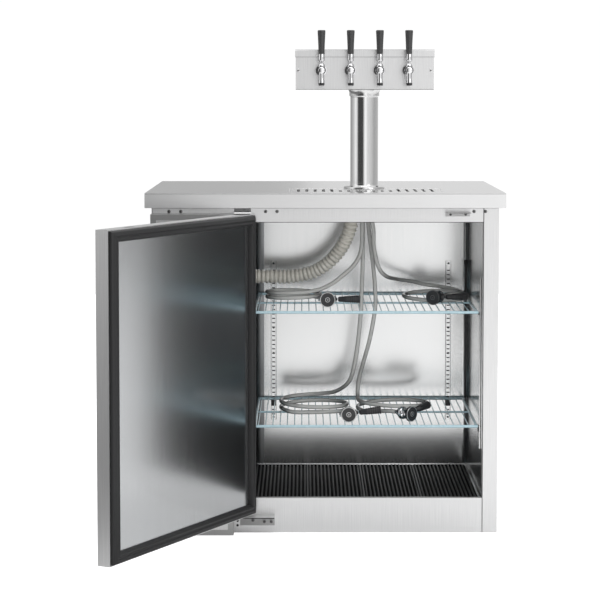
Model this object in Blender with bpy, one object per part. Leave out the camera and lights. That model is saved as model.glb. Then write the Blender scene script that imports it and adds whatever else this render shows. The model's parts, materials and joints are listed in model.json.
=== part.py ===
"""Four-tap kegerator: a stainless cold cabinet with a T-shaped tap tower, open door, shelves,
beer lines, keg couplers and a side-mounted cooling unit. Metres, +Z up. The origin is the
centre of the cabinet's base on the floor, and the front faces -Y."""

import math

import bmesh
import bpy
from mathutils import Matrix, Vector

# Driving dimensions.
GAP = 0.0003
CAB_W, CAB_D, CAB_H = 0.916, 0.660, 0.867
TOP_W, TOP_D, TOP_T = 0.950, 0.700, 0.039
FACE_Y = -CAB_D / 2
SHEET = 0.0012
RAIL_D = 0.030
CAVITY_X0, CAVITY_X1 = -0.200, 0.418
CAVITY_Z0, CAVITY_Z1 = 0.080, 0.828
CAVITY_BACK = FACE_Y + 0.528
FOAM_BACK = FACE_Y + 0.588
PARTITION_X = -0.240
BASE_H = 0.0377
TOWER_X, TOWER_Y = 0.109, FACE_Y + 0.236
COLUMN_R, COLUMN_BORE = 0.038, 0.036
BOX_W, BOX_D, BOX_Z0, BOX_Z1 = 0.375, 0.090, 1.177, 1.281
TAP_PITCH, TAP_Z = 0.0786, 1.229
TAP_PIVOT_Y, TAP_PIVOT_Z = FACE_Y + 0.150, 1.240
SHELF_Z = {"upper": 0.5915, "lower": 0.2865}
SHELF_X0, SHELF_X1 = -0.190, 0.408
SHELF_Y0, SHELF_Y1 = FACE_Y + 0.016, FACE_Y + 0.516
WIRE, WIRE_PITCH, RAIL = 0.003, 0.0193, 0.008
DOOR_W, DOOR_H, DOOR_Z0, DOOR_T = 0.694, 0.797, 0.055, 0.035
DOOR_X0, DOOR_FRONT = -0.236, -0.049
GASKET_T = 0.0130
HINGE_X, HINGE_Y = -0.215, FACE_Y - 0.034
DOOR_OPEN = 118.0
LOCK_X, LOCK_Z = 0.349, 0.832
TRAY_W, TRAY_Y0, TRAY_Y1 = 0.411, FACE_Y + 0.056, FACE_Y + 0.236
TRAY_NOTCH = 0.0583
LINE_D, AIR_HOSE_D = 0.011, 0.040
FAN_HOLE_R = 0.055
EVAP_FAN_Y, EVAP_FAN_Z = FACE_Y + 0.420, 0.700
AIR_OUT_Y, AIR_OUT_Z = FACE_Y + 0.300, 0.658


def clear_scene():
    for old in list(bpy.data.objects):
        bpy.data.objects.remove(old)


def material(name, colour, roughness, metallic=0.0):
    made = bpy.data.materials.new(name)
    made.use_nodes = True
    shader = made.node_tree.nodes["Principled BSDF"]
    shader.inputs["Base Color"].default_value = (*colour, 1.0)
    shader.inputs["Roughness"].default_value = roughness
    shader.inputs["Metallic"].default_value = metallic
    return made


clear_scene()
STEEL = material("brushed stainless", (0.72, 0.72, 0.72), 0.32, 1.0)
ZINC = material("galvanised sheet", (0.55, 0.56, 0.57), 0.45, 1.0)
CHROME = material("chrome", (0.85, 0.85, 0.86), 0.08, 1.0)
FOAM = material("polyurethane foam", (0.85, 0.78, 0.55), 0.9)
BLACK = material("black plastic", (0.03, 0.03, 0.03), 0.4)
RUBBER = material("black rubber", (0.04, 0.04, 0.04), 0.7)
COATED = material("pale blue coated wire", (0.55, 0.72, 0.78), 0.4)
HOSE = material("beer hose", (0.55, 0.55, 0.54), 0.3)
DUCT = material("ribbed duct", (0.75, 0.71, 0.62), 0.6)
ENAMEL = material("black enamel", (0.02, 0.02, 0.02), 0.3)
FIN = material("coil fins", (0.70, 0.70, 0.68), 0.4, 1.0)


def new_object(name, bm, mat, centre=(0, 0, 0), smooth=False):
    """An object from a bmesh that is built about the centre."""
    bmesh.ops.recalc_face_normals(bm, faces=bm.faces)
    mesh = bpy.data.meshes.new(name)
    bm.to_mesh(mesh)
    bm.free()
    made = bpy.data.objects.new(name, mesh)
    made.location = centre
    mesh.materials.append(mat)
    if smooth:
        mesh.shade_smooth()
        mesh.set_sharp_from_angle(angle=math.radians(40))
    bpy.context.scene.collection.objects.link(made)
    return made


def block(name, low, high, mat=STEEL):
    """A box between two corners, with its origin at its centre."""
    low, high = Vector(low), Vector(high)
    bm = bmesh.new()
    bmesh.ops.create_cube(bm, size=1.0)
    bmesh.ops.scale(bm, vec=high - low, verts=bm.verts)
    return new_object(name, bm, mat, (low + high) / 2)


def prism(name, outline, low, high, axis="Z", mat=STEEL):
    """An outline extruded along an axis; it is given in the other two axes, in X, Y, Z order."""
    place = {
        "X": lambda a, b, h: (h, a, b),
        "Y": lambda a, b, h: (a, h, b),
        "Z": lambda a, b, h: (a, b, h),
    }[axis]
    bm = bmesh.new()
    rings = [[bm.verts.new(place(a, b, h)) for a, b in outline] for h in (low, high)]
    for ring in rings:
        bm.faces.new(ring)
    count = len(outline)
    for i in range(count):
        j = (i + 1) % count
        bm.faces.new((rings[0][i], rings[0][j], rings[1][j], rings[1][i]))
    return new_object(name, bm, mat)


def turned(name, profile, sides, mat, centre=(0, 0, 0), direction=(0, 0, 1), ring=False):
    """A profile of (radius, height) turned about a direction through the centre.

    The profile's ends are capped; with ring set it is a closed loop instead, as for a tube."""
    bm = bmesh.new()
    turn = Vector((0, 0, 1)).rotation_difference(Vector(direction)).to_matrix()
    loops = []
    for radius, height in profile:
        angles = [2 * math.pi * (k + 0.5) / sides for k in range(sides)]
        points = [(radius * math.cos(a), radius * math.sin(a), height) for a in angles]
        loops.append([bm.verts.new(turn @ Vector(p)) for p in points])
    pairs = list(zip(loops, loops[1:]))
    if ring:
        pairs.append((loops[-1], loops[0]))
    else:
        bm.faces.new(loops[0])
        bm.faces.new(loops[-1])
    for lower, upper in pairs:
        for i in range(sides):
            j = (i + 1) % sides
            bm.faces.new((lower[i], lower[j], upper[j], upper[i]))
    return new_object(name, bm, mat, centre, smooth=True)


def rod(name, radius, start, end, sides, mat):
    """A round bar between two points."""
    start, end = Vector(start), Vector(end)
    profile = [(radius, 0), (radius, (end - start).length)]
    return turned(name, profile, sides, mat, start, end - start)


def helper(tool):
    """Marks a cutter or an added shape, which isn't a part itself."""
    tool.hide_render = True
    tool.display_type = "WIRE"
    return tool


def combine(target, operation, tools):
    for tool in tools:
        modifier = target.modifiers.new(tool.name, "BOOLEAN")
        modifier.operation = operation
        modifier.object = helper(tool)
    return target


def cut(target, *tools):
    return combine(target, "DIFFERENCE", tools)


def fuse(target, *tools):
    return combine(target, "UNION", tools)


def smooth_route(points, step):
    """Points about a step apart on the Catmull-Rom curve through hand-chosen points.

    Each end has a short straight lead, so that the hose meets its fitting squarely."""
    points = [Vector(p) for p in points]
    lead = 0.004
    first = points[0] + (points[1] - points[0]).normalized() * lead
    last = points[-1] + (points[-2] - points[-1]).normalized() * lead
    ends = [2 * points[0] - points[1], *points, 2 * points[-1] - points[-2]]
    fine = []
    for a, b, c, d in zip(ends, ends[1:], ends[2:], ends[3:]):
        for k in range(24):
            t = k / 24
            fine.append(
                0.5 * (2 * b + (c - a) * t + (2 * a - 5 * b + 4 * c - d) * t**2)
                + 0.5 * (3 * b - a - 3 * c + d) * t**3
            )
    fine.append(points[-1])
    along = [0.0]
    for a, b in zip(fine, fine[1:]):
        along.append(along[-1] + (b - a).length)
    count = max(2, round(along[-1] / step))
    spaced, i = [], 0
    for k in range(count + 1):
        want = along[-1] * k / count
        while i < len(fine) - 2 and along[i + 1] < want:
            i += 1
        part = (want - along[i]) / max(along[i + 1] - along[i], 1e-9)
        spaced.append(fine[i].lerp(fine[i + 1], min(1.0, max(0.0, part))))
    return [spaced[0], first, *spaced[1:-1], last, spaced[-1]]


def coil_turns(centre, radii, start, sweep, z_start, z_end):
    """Points on a coil lying flat, 12 to a turn; the angles are in degrees."""
    count = round(abs(sweep) / 30)
    made = []
    for k in range(count + 1):
        angle = math.radians(start + sweep * k / count)
        radius = radii[0] + (radii[1] - radii[0]) * k / count
        made.append((
            centre[0] + radius * math.cos(angle),
            centre[1] + radius * math.sin(angle),
            z_start + (z_end - z_start) * k / count,
        ))
    return made


def tube(name, points, diameter, mat, resolution=2):
    """A hose: a curve with a round section and closed ends, each square to its fitting."""
    curve = bpy.data.curves.new(name, "CURVE")
    curve.dimensions = "3D"
    curve.bevel_depth = diameter / 2
    curve.bevel_resolution = resolution
    curve.use_fill_caps = True
    spline = curve.splines.new("POLY")
    spline.points.add(len(points) - 1)
    for point, place in zip(spline.points, points):
        point.co = (*place, 1.0)
    made = bpy.data.objects.new(name, curve)
    curve.materials.append(mat)
    bpy.context.scene.collection.objects.link(made)
    return made


# ---- Cabinet shell


def make_shell():
    half = CAB_W / 2
    back = FACE_Y + CAB_D
    outer, stile_y = half - SHEET, FACE_Y + RAIL_D
    right = [
        (CAVITY_X1 + GAP, FACE_Y), (half, FACE_Y), (half, back),
        (outer, back), (outer, stile_y), (CAVITY_X1 + GAP, stile_y),
    ]
    prism("side_panel_right", right, 0.0, CAB_H - GAP)
    left = [(-half, FACE_Y), (-outer, FACE_Y), (-outer, back), (-half, back)]
    prism("side_panel_left", left, 0.0, CAB_H - GAP)
    block(
        "rear_panel", (-outer + GAP, back - SHEET, 0.0),
        (outer - GAP, back, CAB_H - GAP), ZINC,
    )
    block(
        "top_rail", (-outer + GAP, FACE_Y, CAVITY_Z1),
        (CAVITY_X1, stile_y, CAB_H - GAP),
    )
    bottom_z = CAVITY_Z0 + 0.011
    bottom = [
        (FACE_Y, 0.0), (stile_y, 0.0), (stile_y, bottom_z),
        (FACE_Y + 0.003, bottom_z), (FACE_Y + 0.003, bottom_z + 0.004), (FACE_Y, bottom_z + 0.004),
    ]
    prism("bottom_rail", bottom, -outer + GAP, CAVITY_X1, "X")
    block(
        "centre_stile", (PARTITION_X, FACE_Y, bottom_z + 0.004 + GAP),
        (CAVITY_X0, stile_y, CAVITY_Z1 - GAP),
    )
    make_base(outer, back)


def make_base(outer, back):
    """The floor frame: a pan with one bay under the cooling unit and one under the cold box."""
    y0, y1 = FACE_Y + RAIL_D + GAP, back - SHEET - GAP
    base = block("base_frame", (-outer + GAP, y0, 0), (outer - GAP, y1, BASE_H), ZINC)
    wall, floor = 0.004, 0.003
    unit_bay = block("unit_bay", (-outer + wall, y0 + wall, floor), (-0.246, y1 - wall, 0.06))
    box_bay = block("box_bay", (-0.234, y0 + wall, floor), (outer - wall, y1 - wall, 0.06))
    cut(base, unit_bay, box_bay)


def make_cold_box():
    """The one-piece foam with its air and hose holes, and the liner sheet inside it."""
    outer = CAB_W / 2 - SHEET - GAP
    skin = SHEET + GAP
    front = FACE_Y + RAIL_D + GAP
    top = CAB_H - GAP
    foam = block("foam_insulation", (PARTITION_X, front, BASE_H + GAP), (outer, FOAM_BACK, top), FOAM)
    cavity = block(
        "foam_cavity", (CAVITY_X0 - skin, front - 0.01, CAVITY_Z0 - skin),
        (CAVITY_X1 + skin, CAVITY_BACK + skin, CAVITY_Z1 + skin),
    )
    liner = block(
        "inner_liner", (CAVITY_X0 - SHEET, front, CAVITY_Z0 - SHEET),
        (CAVITY_X1 + SHEET, CAVITY_BACK + SHEET, CAVITY_Z1 + SHEET),
    )
    room = block(
        "liner_room", (CAVITY_X0, front - 0.01, CAVITY_Z0), (CAVITY_X1, CAVITY_BACK, CAVITY_Z1)
    )
    cut(foam, cavity)
    cut(liner, room)
    tower_hole = ((0.098, TOWER_Y, 0.80), (0.098, TOWER_Y, 0.90))
    fan_hole = ((-0.26, EVAP_FAN_Y, EVAP_FAN_Z), (-0.19, EVAP_FAN_Y, EVAP_FAN_Z))
    air_hole = ((-0.26, AIR_OUT_Y, AIR_OUT_Z), (-0.19, AIR_OUT_Y, AIR_OUT_Z))
    holes = {"tower": (*tower_hole, 0.048), "fan": (*fan_hole, FAN_HOLE_R), "air": (*air_hole, 0.0225)}
    for name, (start, end, radius) in holes.items():
        for target in (foam, liner):
            cut(target, rod(f"{name}_hole_in_{target.name}", radius, start, end, 20, FOAM))


def tray_outline(inset):
    """The drip tray's outline: a rectangle with a round notch in front of the tower."""
    x0, x1 = TOWER_X - TRAY_W / 2 + inset, TOWER_X + TRAY_W / 2 - inset
    y0, y1 = TRAY_Y0 + inset, TRAY_Y1 - inset
    radius = TRAY_NOTCH + inset
    tilt = math.asin(inset / radius)
    points = [(x0, y0), (x1, y0), (x1, y1)]
    for k in range(13):
        angle = -tilt - (math.pi - 2 * tilt) * k / 12
        points.append((TOWER_X + radius * math.cos(angle), TOWER_Y + radius * math.sin(angle)))
    return [*points, (x0, y1)]


def make_top():
    top_z = CAB_H + TOP_T
    slab = block(
        "worktop", (-TOP_W / 2, FACE_Y - 0.020, CAB_H), (TOP_W / 2, FACE_Y - 0.020 + TOP_D, top_z)
    )
    recess = prism("tray_recess", tray_outline(-GAP), top_z - 0.021, top_z + 0.01)
    bore = rod(
        "tower_bore", 0.039, (TOWER_X, TOWER_Y, CAB_H - 0.01), (TOWER_X, TOWER_Y, top_z + 0.01),
        24, STEEL,
    )
    cut(slab, recess, bore)
    tray = prism("drip_tray", tray_outline(0), top_z - 0.021 + GAP, top_z)
    cut(tray, prism("tray_hollow", tray_outline(0.0015), top_z - 0.019, top_z + 0.01))
    grid = prism("drip_grid", tray_outline(0.002), top_z - 0.0185, top_z - GAP)
    cut(grid, prism("grid_hollow", tray_outline(0.0035), top_z - 0.03, top_z - 0.0023))
    pitch, half_slot = 0.0225, 0.004
    for k in range(-8, 9):
        x = TOWER_X + k * pitch
        back = TRAY_Y1 - (0.016 if abs(k) > 3 else 0.078)
        low = (x - half_slot, TRAY_Y0 + 0.014, top_z - 0.01)
        cut(grid, block(f"slot_{k + 8}", low, (x + half_slot, back, top_z + 0.01)))
    for side in (-1, 1):
        x = TOWER_X + side * 0.1935
        spot = ((x, TRAY_Y0 + 0.09, top_z - 0.01), (x, TRAY_Y0 + 0.09, top_z + 0.01))
        cut(grid, rod(f"finger_hole_{side + 1}", 0.0055, *spot, 10, STEEL))


# ---- Front fittings


def make_grille_panel():
    """The cooling unit's front cover: a pan as thick as the closed door, with air slots."""
    x0, x1, z0, z1 = -CAB_W / 2, -0.242, 0.003, DOOR_Z0 + DOOR_H
    front, back = FACE_Y + DOOR_FRONT, FACE_Y - GAP
    panel = block("grille_panel", (x0, front, z0), (x1, back, z1))
    cut(panel, block("grille_hollow", (x0 + 0.002, front + 0.002, z0 + 0.002), (x1 - 0.002, 0, z1 - 0.002)))
    for k in range(16):
        z = 0.09 + 0.022 * k
        low, high = (x0 + 0.035, front - 0.01, z), (x1 - 0.035, front + 0.01, z + 0.008)
        cut(panel, block(f"air_slot_{k}", low, high))


def make_hinges():
    """Two folded brackets with a pin each, one above and one below the door."""
    top_z, low_z = DOOR_Z0 + DOOR_H, DOOR_Z0
    fold = 0.0025
    front = FACE_Y - 0.049
    for name, x0, x1, plate, flange in (
        ("hinge_top", -0.240, -0.196, (top_z + 0.0005, top_z + 0.003), (top_z + 0.0005, 0.8655)),
        ("hinge_bottom", -0.226, -0.134, (low_z - 0.0075, low_z - 0.005), (0.020, low_z - 0.005)),
    ):
        bracket = block(name, (x0, front, plate[0]), (x1, FACE_Y - GAP, plate[1]))
        leaf = block(f"{name}_leaf", (x0, FACE_Y - fold, flange[0]), (x1, FACE_Y - GAP, flange[1]))
        inward = (top_z - 0.008, plate[0] + 0.001), (plate[1] - 0.001, low_z + 0.008)
        low, high = inward[name == "hinge_bottom"]
        pin = rod(f"{name}_pin", 0.004, (HINGE_X, HINGE_Y, low), (HINGE_X, HINGE_Y, high), 12, STEEL)
        fuse(bracket, leaf, pin)


def make_lock_strike():
    z = DOOR_Z0 + DOOR_H + 0.002
    strike = block("lock_strike", (0.317, FACE_Y - 0.042, z), (0.381, FACE_Y - GAP, z + 0.002))
    leaf = block("strike_leaf", (0.317, FACE_Y - 0.002, 0.844), (0.381, FACE_Y - GAP, z + 0.001))
    fuse(strike, leaf)
    cut(strike, block("strike_slot", (0.322, FACE_Y - 0.036, z - 0.01), (0.364, FACE_Y - 0.024, z + 0.01)))


def make_shelf(name, z):
    """A welded wire shelf: a rim, a middle rail and wires from front to back."""
    rim = block(f"shelf_{name}", (SHELF_X0, SHELF_Y0, z - RAIL), (SHELF_X1, SHELF_Y1, z), COATED)
    inside = block(
        f"{name}_rim_hole", (SHELF_X0 + RAIL, SHELF_Y0 + RAIL, z - 0.02),
        (SHELF_X1 - RAIL, SHELF_Y1 - RAIL, z + 0.01),
    )
    middle = FACE_Y + 0.265
    rail = block(
        f"{name}_middle_rail", (SHELF_X0 + 0.002, middle - 0.003, z - 0.0065),
        (SHELF_X1 - 0.002, middle + 0.003, z - 0.001),
    )
    cut(rim, inside)
    fuse(rim, rail)
    for k in range(-15, 16):
        x = 0.11165 + WIRE_PITCH * k
        low = (x - WIRE / 2, SHELF_Y0 + 0.004, z - 0.0005 - WIRE)
        high = (x + WIRE / 2, SHELF_Y1 - 0.004, z - 0.0005)
        fuse(rim, block(f"{name}_wire_{k + 15}", low, high))


def make_standards():
    """Four slotted uprights for the shelves, each a shallow channel with a clip under each shelf."""
    back_x, side_y = (-0.144, 0.362), (FACE_Y + 0.072, FACE_Y + 0.072)
    half = 0.0075
    for name, x in (("back_left", back_x[0]), ("back_right", back_x[1])):
        y = CAVITY_BACK - GAP
        upright = block(f"shelf_standard_{name}", (x - half, y - 0.004, 0.219), (x + half, y, 0.683))
        clips = [
            block(f"clip_{name}_{level}", (x - 0.006, SHELF_Y1 - 0.012, z - RAIL - 0.008),
                  (x + 0.006, y - 0.002, z - RAIL - GAP))
            for level, z in SHELF_Z.items()
        ]
        fuse(upright, *clips)
    for name, wall, inward, y in (
        ("front_left", CAVITY_X0 + GAP, 1, side_y[0]), ("front_right", CAVITY_X1 - GAP, -1, side_y[1]),
    ):
        xs = sorted((wall, wall + inward * 0.004))
        upright = block(
            f"shelf_standard_{name}", (xs[0], y - half, 0.214), (xs[1], y + half, 0.675)
        )
        clip_x = sorted((wall + inward * 0.002, wall + inward * 0.016))
        clips = [
            block(f"clip_{name}_{level}", (clip_x[0], y - 0.006, z - RAIL - 0.008),
                  (clip_x[1], y + 0.006, z - RAIL - GAP))
            for level, z in SHELF_Z.items()
        ]
        fuse(upright, *clips)


def make_floor_rack():
    """Ribbed mats on the cabinet floor, their ribs running from front to back."""
    x0, x1 = CAVITY_X0 + 0.003, CAVITY_X1 - 0.003
    z0, z1, rib = CAVITY_Z0 + GAP, CAVITY_Z0 + 0.009, 0.0035
    count = 26
    pitch = (x1 - x0) / count
    outline = [(x0, z0), (x1, z0)]
    for k in reversed(range(count)):
        x = x0 + pitch * (k + 1)
        outline += [(x, z1), (x - pitch / 2, z1), (x - pitch / 2, z1 - rib), (x - pitch, z1 - rib)]
    prism("floor_rack", outline, FACE_Y + RAIL_D + 0.001, CAVITY_BACK - 0.001, "Y", RUBBER)


# ---- Door, built closed on its hinge axis and then swung open


def make_door():
    hinge = bpy.data.objects.new("door_hinge", None)
    bpy.context.scene.collection.objects.link(hinge)
    x0, x1 = DOOR_X0, DOOR_X0 + DOOR_W
    z0, z1 = DOOR_Z0, DOOR_Z0 + DOOR_H
    front, inner = FACE_Y + DOOR_FRONT, FACE_Y + DOOR_FRONT + DOOR_T
    wall = 0.0015
    skin = block("door_skin", (x0, front, z0), (x1, inner, z1))
    hollow = block("skin_hollow", (x0 + wall, front + wall, z0 + wall), (x1 - wall, inner + 0.01, z1 - wall))
    core = block(
        "door_liner", (x0 + wall + GAP, front + wall + GAP, z0 + wall + GAP),
        (x1 - wall - GAP, inner, z1 - wall - GAP),
    )
    cut(skin, hollow)
    tools = []
    for target in (skin, core):
        for end, (low, high) in {"low": (z0 - 0.01, z0 + 0.010), "top": (z1 - 0.010, z1 + 0.01)}.items():
            hole = rod(
                f"pin_hole_{end}_{target.name}", 0.0045, (HINGE_X, HINGE_Y, low), (HINGE_X, HINGE_Y, high),
                12, STEEL,
            )
            tools.append((target, hole))
    cup_x0, cup_x1, cup_z0, cup_z1, cup_y = x1 - 0.075, x1 - 0.030, 0.500, 0.640, front + 0.022
    for target in (skin, core):
        low, high = (cup_x0 - GAP, front - 0.01, cup_z0 - GAP), (cup_x1 + GAP, cup_y + GAP, cup_z1 + GAP)
        tools.append((target, block(f"cup_hole_{target.name}", low, high)))
        low, high = (LOCK_X, front - 0.01, LOCK_Z), (LOCK_X, front + 0.015, LOCK_Z)
        barrel = rod(f"barrel_hole_{target.name}", 0.0103, low, high, 16, STEEL)
        tools.append((target, barrel))
    cam_room = rod(
        "cam_room", 0.0325, (LOCK_X, front + 0.0145, LOCK_Z), (LOCK_X, front + 0.0225, LOCK_Z), 24, STEEL
    )
    cam_slot = block("cam_slot", (0.322, front + 0.013, z1 - 0.005), (0.364, front + 0.024, z1 + 0.01))
    tools += [(core, cam_room), (skin, cam_slot)]
    for target, tool in tools:
        cut(target, tool)
    handle = block("door_handle", (cup_x0, front, cup_z0), (cup_x1, cup_y, cup_z1), BLACK)
    cup_wall = 0.002
    cup = block(
        "cup_hollow", (cup_x0 + cup_wall, front - 0.01, cup_z0 + cup_wall),
        (cup_x1 - cup_wall, cup_y - cup_wall, cup_z1 - cup_wall),
    )
    cut(handle, cup)
    x, z = LOCK_X, LOCK_Z
    lock = rod("door_lock", 0.010, (x, front - 0.003, z), (x, front + 0.0175, z), 16, CHROME)
    cam = block("lock_cam", (x - 0.030, front + 0.0165, z - 0.006), (x + 0.007, front + 0.0195, z + 0.006))
    key_slot = block("key_slot", (x - 0.0012, front - 0.01, z - 0.004), (x + 0.0012, front - 0.001, z + 0.004))
    fuse(lock, cam)
    cut(lock, key_slot)
    gasket = make_gasket(x0, x1, z0, z1, inner)
    parts = [skin, core, handle, lock, gasket]
    helpers = [m.object for part in parts for m in part.modifiers]
    hinge.location = (HINGE_X, HINGE_Y, 0)
    bpy.context.view_layer.update()
    back = hinge.matrix_world.inverted()
    for part in {*parts, *helpers}:
        part.parent = hinge
        part.matrix_parent_inverse = back
    hinge.rotation_euler = (0, 0, -math.radians(DOOR_OPEN))


def make_gasket(x0, x1, z0, z1, inner):
    """The magnetic seal: one section swept round the door's inner face, mitred at the corners."""
    section = [
        (0.003, 0.0), (0.003, 0.004), (0.006, 0.009), (0.014, GASKET_T),
        (0.026, GASKET_T), (0.031, 0.008), (0.031, 0.0),
    ]
    bm = bmesh.new()
    corners = []
    for sx, sz in ((0, 0), (1, 0), (1, 1), (0, 1)):
        loop = []
        for inset, rise in section:
            x = x1 - inset if sx else x0 + inset
            z = z1 - inset if sz else z0 + inset
            loop.append(bm.verts.new((x, inner + GAP + rise, z)))
        corners.append(loop)
    for k in range(4):
        here, there = corners[k], corners[(k + 1) % 4]
        for i in range(len(section)):
            j = (i + 1) % len(section)
            bm.faces.new((here[i], here[j], there[j], there[i]))
    return new_object("door_gasket", bm, RUBBER)


# ---- Tap tower


def make_tower():
    base_z = CAB_H + TOP_T + GAP
    top_z = BOX_Z0 - GAP
    profile = [
        (COLUMN_BORE, base_z), (0.056, base_z), (0.056, base_z + 0.004), (0.054, base_z + 0.006),
        (0.040, base_z + 0.006), (COLUMN_R, base_z + 0.010), (COLUMN_R, 1.158),
        (0.041, 1.160), (0.041, 1.171), (0.044, top_z), (COLUMN_BORE, top_z),
    ]
    turned("tower_column", profile, 20, STEEL, (TOWER_X, TOWER_Y, 0), ring=True)
    x0, x1 = TOWER_X - BOX_W / 2, TOWER_X + BOX_W / 2
    y0, y1 = TOWER_Y - BOX_D / 2, TOWER_Y + BOX_D / 2
    wall = 0.0015
    box = block("tower_box", (x0, y0, BOX_Z0), (x1, y1, BOX_Z1))
    cut(box, block("box_room", (x0 + wall, y0 + wall, BOX_Z0 + wall), (x1 - wall, y1 - wall, BOX_Z1 + 0.01)))
    cut(box, rod("box_bore", COLUMN_BORE, (TOWER_X, TOWER_Y, 1.16), (TOWER_X, TOWER_Y, 1.19), 24, STEEL))
    edge = 0.0018
    arch = []
    for k in range(13):
        share = k / 12
        x = x0 - edge + (BOX_W + 2 * edge) * (1 - share)
        arch.append((x, 1.2832 + 0.0025 * math.sin(math.pi * share)))
    outline = [(x0 - edge, 1.266), (x1 + edge, 1.266), *arch]
    lid = prism("tower_lid", outline, y0 - edge, y1 + edge, "Y")
    cut(lid, block("lid_room", (x0 - GAP, y0 - GAP, 1.25), (x1 + GAP, y1 + GAP, BOX_Z1 + GAP)))
    for k in range(4):
        x = TOWER_X + TAP_PITCH * (k - 1.5)
        cut(box, rod(f"shank_hole_{k}", 0.0113, (x, y0 - 0.01, TAP_Z), (x, y0 + 0.01, TAP_Z), 16, STEEL))
        make_faucet(k + 1, x, y0)


def make_faucet(number, x, box_y):
    """A beer faucet on its shank, with the lever on a ball pivot above it."""
    name = f"faucet_{number}"
    along = [
        (0.0085, 0.0), (0.0095, 0.003), (0.0095, 0.048), (0.0155, 0.050), (0.0155, 0.0627),
        (0.0110, 0.0630), (0.0110, 0.0880), (0.0058, 0.0885), (0.0058, 0.0935),
    ]
    faucet = turned(name, along, 12, CHROME, (x, box_y - 0.063, TAP_Z), (0, 1, 0))
    spout_profile = [(0.0070, -0.041), (0.0080, -0.038), (0.0080, 0.002)]
    spout = turned(f"{name}_spout", spout_profile, 12, CHROME, (x, box_y - 0.058, TAP_Z))
    bonnet_z = TAP_PIVOT_Z
    dome = [(0.0095, -0.0115), (0.0095, 0.0), (0.0082, 0.0048), (0.0048, 0.0082), (0.0015, 0.0094)]
    bonnet = turned(f"{name}_bonnet", dome, 12, CHROME, (x, TAP_PIVOT_Y, bonnet_z))
    fuse(faucet, spout, bonnet)
    lever = [
        (0.0040, 0.0099), (0.0060, 0.0115), (0.0085, 0.0150), (0.0085, 0.0328),
        (0.0078, 0.0332), (0.0104, 0.0945), (0.0095, 0.0970),
    ]
    turned(f"tap_handle_{number}", lever, 12, BLACK, (x, TAP_PIVOT_Y, TAP_PIVOT_Z))


# ---- Beer lines, couplers and the air hose


def line_in_tower(number):
    """A line's route from its faucet's tail down the column to the ceiling hole."""
    y = FACE_Y
    if number in (1, 4):
        route = [
            (-0.0089, y + 0.2220, 1.229), (-0.0086, y + 0.2310, 1.229), (-0.0030, y + 0.2490, 1.228),
            (0.0111, y + 0.2610, 1.224), (0.0311, y + 0.2650, 1.216), (0.058, y + 0.2580, 1.204),
            (0.080, y + 0.2430, 1.189), (0.096, y + 0.2320, 1.166), (0.102, y + 0.2270, 1.130),
            (0.103, y + 0.2260, 0.99),
        ]
    else:
        route = [
            (0.0697, y + 0.2220, 1.229), (0.0698, y + 0.2310, 1.2286), (0.0715, y + 0.2470, 1.223),
            (0.0755, y + 0.2570, 1.210), (0.0830, y + 0.2590, 1.192), (0.0920, y + 0.2535, 1.168),
            (0.0995, y + 0.2490, 1.135), (0.103, y + 0.2460, 1.090), (0.103, y + 0.2460, 0.99),
        ]
    if number > 2:
        route = [(2 * TOWER_X - x, y, z) for x, y, z in route]
    return route


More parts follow.
